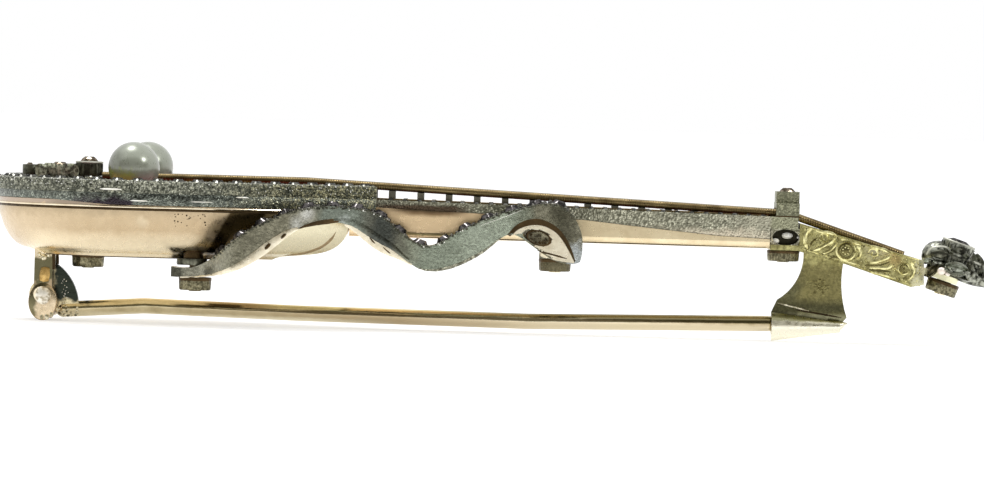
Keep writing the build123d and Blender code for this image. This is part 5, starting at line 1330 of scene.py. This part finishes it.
def knurled_nut(node, normal=UP, height=None):
    """Round nut with a knurled side and the screw's slotted end below."""
    low, high = box_of(node)
    up = Vector(normal).normalized()
    centre = (low + high) / 2
    height = height or high.z - low.z
    radius, sides, notch = 1.08, 60, 0.045
    shape = Shape()
    rings = []
    for share, up_share, tooth in ((0.90, -0.5, 0.0), (0.965, -0.42, 0.6), (0.985, 0.0, 1.0),
                                   (1.0, 0.40, 1.0), (0.97, 0.5, 0.0)):
        middle = centre + up * (height * up_share)
        rings.append([middle + (point - middle) * radius * share * (1.0 - notch * tooth * (index % 3 == 0))
                      for index, point in enumerate(ring(middle, up, 1.0, sides))])
    skin(shape, rings, 0)
    turned(shape, centre, up, ((radius * 0.99, height * 0.22), (radius * 1.01, height * 0.30),
                               (radius * 1.01, height * 0.44), (radius * 0.96, height * 0.505)), 40, 2)
    end = centre - up * (height * 0.5)
    side, other = frame_of(up)
    for sign in (-1, 1):
        half = [end + side * (0.36 * math.cos(a)) + other * (sign * (0.07 + 0.29 * math.sin(a)))
                for a in [math.pi * number / 10 for number in range(11)]]
        skin(shape, [half, [point - up * 0.07 for point in half]], 1)
    shape.piece(node + "_knurled", (NUT_GOLD, POLISHED_GOLD, DARK_LINE), stands_for=(node,))


# ---- studio ----

def sheet(name, corners, inputs):
    """Flat sheet of the studio, with the constants of its shader."""
    mesh = bpy.data.meshes.new(name)
    mesh.from_pydata(corners, [], [(0, 1, 2, 3)])
    material, tree = new_material(name)
    fill(tree, tree.nodes["Principled BSDF"], inputs)
    mesh.materials.append(material)
    item = placed(name, mesh)
    return item


def aim(item, place, direction, roll=0.0):
    """Puts a lamp or the camera in its place, looking along a direction."""
    item.location = place
    item.rotation_mode = "QUATERNION"
    turn = Matrix.Rotation(math.radians(roll), 4, "Z").to_quaternion()
    item.rotation_quaternion = direction.to_track_quat("-Z", "Y") @ turn


def studio():
    """Pale floor, pale world, soft lights and the dark side of the room in front."""
    scene = bpy.context.scene
    scene.view_settings.view_transform = "Standard"
    scene.world = bpy.data.worlds.new("world")
    scene.world.use_nodes = True
    tree = scene.world.node_tree
    fill(tree, tree.nodes["Background"], {"Color": WHITE, "Strength": 1.0})
    half = 4.0
    sheet("floor", [(-half, -half, 0), (half, -half, 0), (half, half, 0), (-half, half, 0)],
          {"Base Color": (0.62, 0.62, 0.62, 1.0), "Roughness": 0.9, "Emission Color": WHITE,
           "Emission Strength": 0.45})
    # A card that only the metal's reflections see
    left, right, y, low, high = -0.6, 0.6, -0.22, 0.004, 0.24
    card = sheet("dark_front", [(left, y, low), (right, y, low), (right, y, high), (left, y, high)],
                 {"Base Color": (0.0, 0.0, 0.0, 1.0), "Specular IOR Level": 0.0,
                  "Emission Color": (0.16, 0.15, 0.11, 1.0), "Emission Strength": 1.0})
    for ray in ("visible_camera", "visible_diffuse", "visible_shadow", "visible_volume_scatter"):
        setattr(card, ray, False)
    for name, place, size, power in (("side_lamp", (0.264, -0.21, 0.255), 0.08, 0.4),
                                     ("top_lamp", (-0.085, 0.06, 0.40), 0.10, 0.7)):
        light = bpy.data.lights.new(name, "AREA")
        light.size = size
        light.energy = power
        lamp = placed(name, light)
        aim(lamp, place, Vector((0, 0, 0.005)) - Vector(place))
        lamp.visible_camera = False


def camera():
    """Camera at the photograph's angle."""
    data = bpy.data.cameras.new("camera")
    data.sensor_width = SENSOR_WIDTH
    data.lens = SENSOR_WIDTH * CAMERA_DISTANCE / VIEW_WIDTH
    data.clip_start = 0.01
    data.clip_end = 20.0
    tilt = math.radians(CAMERA_ELEVATION)
    back = Vector((0.0, -math.cos(tilt), math.sin(tilt)))
    bpy.context.scene.camera = placed("camera", data)
    aim(bpy.context.scene.camera, row(*TARGET) + back * CAMERA_DISTANCE * MM, -back, CAMERA_ROLL)


for make in (dress_frame, border_relief, rim_wires, body_lines, ribbon_details, ribbon_beads, head_relief,
             catch_relief, cage_lining, hinge_details, pin_root, tail_leaves, pearl_cups, terminal_flower,
             neck_trim):
    make()
stone_field("border_stones", "border_diamonds", 4, (DIAMOND, CROWN, PRONG_SILVER))
stone_field("neck_stones", "neck_diamonds", 4, (DIAMOND, CROWN, SILVER), 0.08)
stone_field("ribbon_stones", "ribbon_diamonds", 6, (GREY_STONE, GREY_CROWN, RIBBON_SETTING), 0.13, 1.0)
stone_field("terminal_gems", "terminal_stones", 6, (GREY_STONE, GREY_CROWN, SILVER), 0.1)
for nut in ("screw_nut_tail", "screw_nut_ribbon_bowl", "screw_nut_ribbon_neck", "screw_nut_neck_end"):
    knurled_nut(nut)
knurled_nut("screw_nut_terminal", TERMINAL_UP, TERMINAL_NUT_HEIGHT)
studio()
camera()
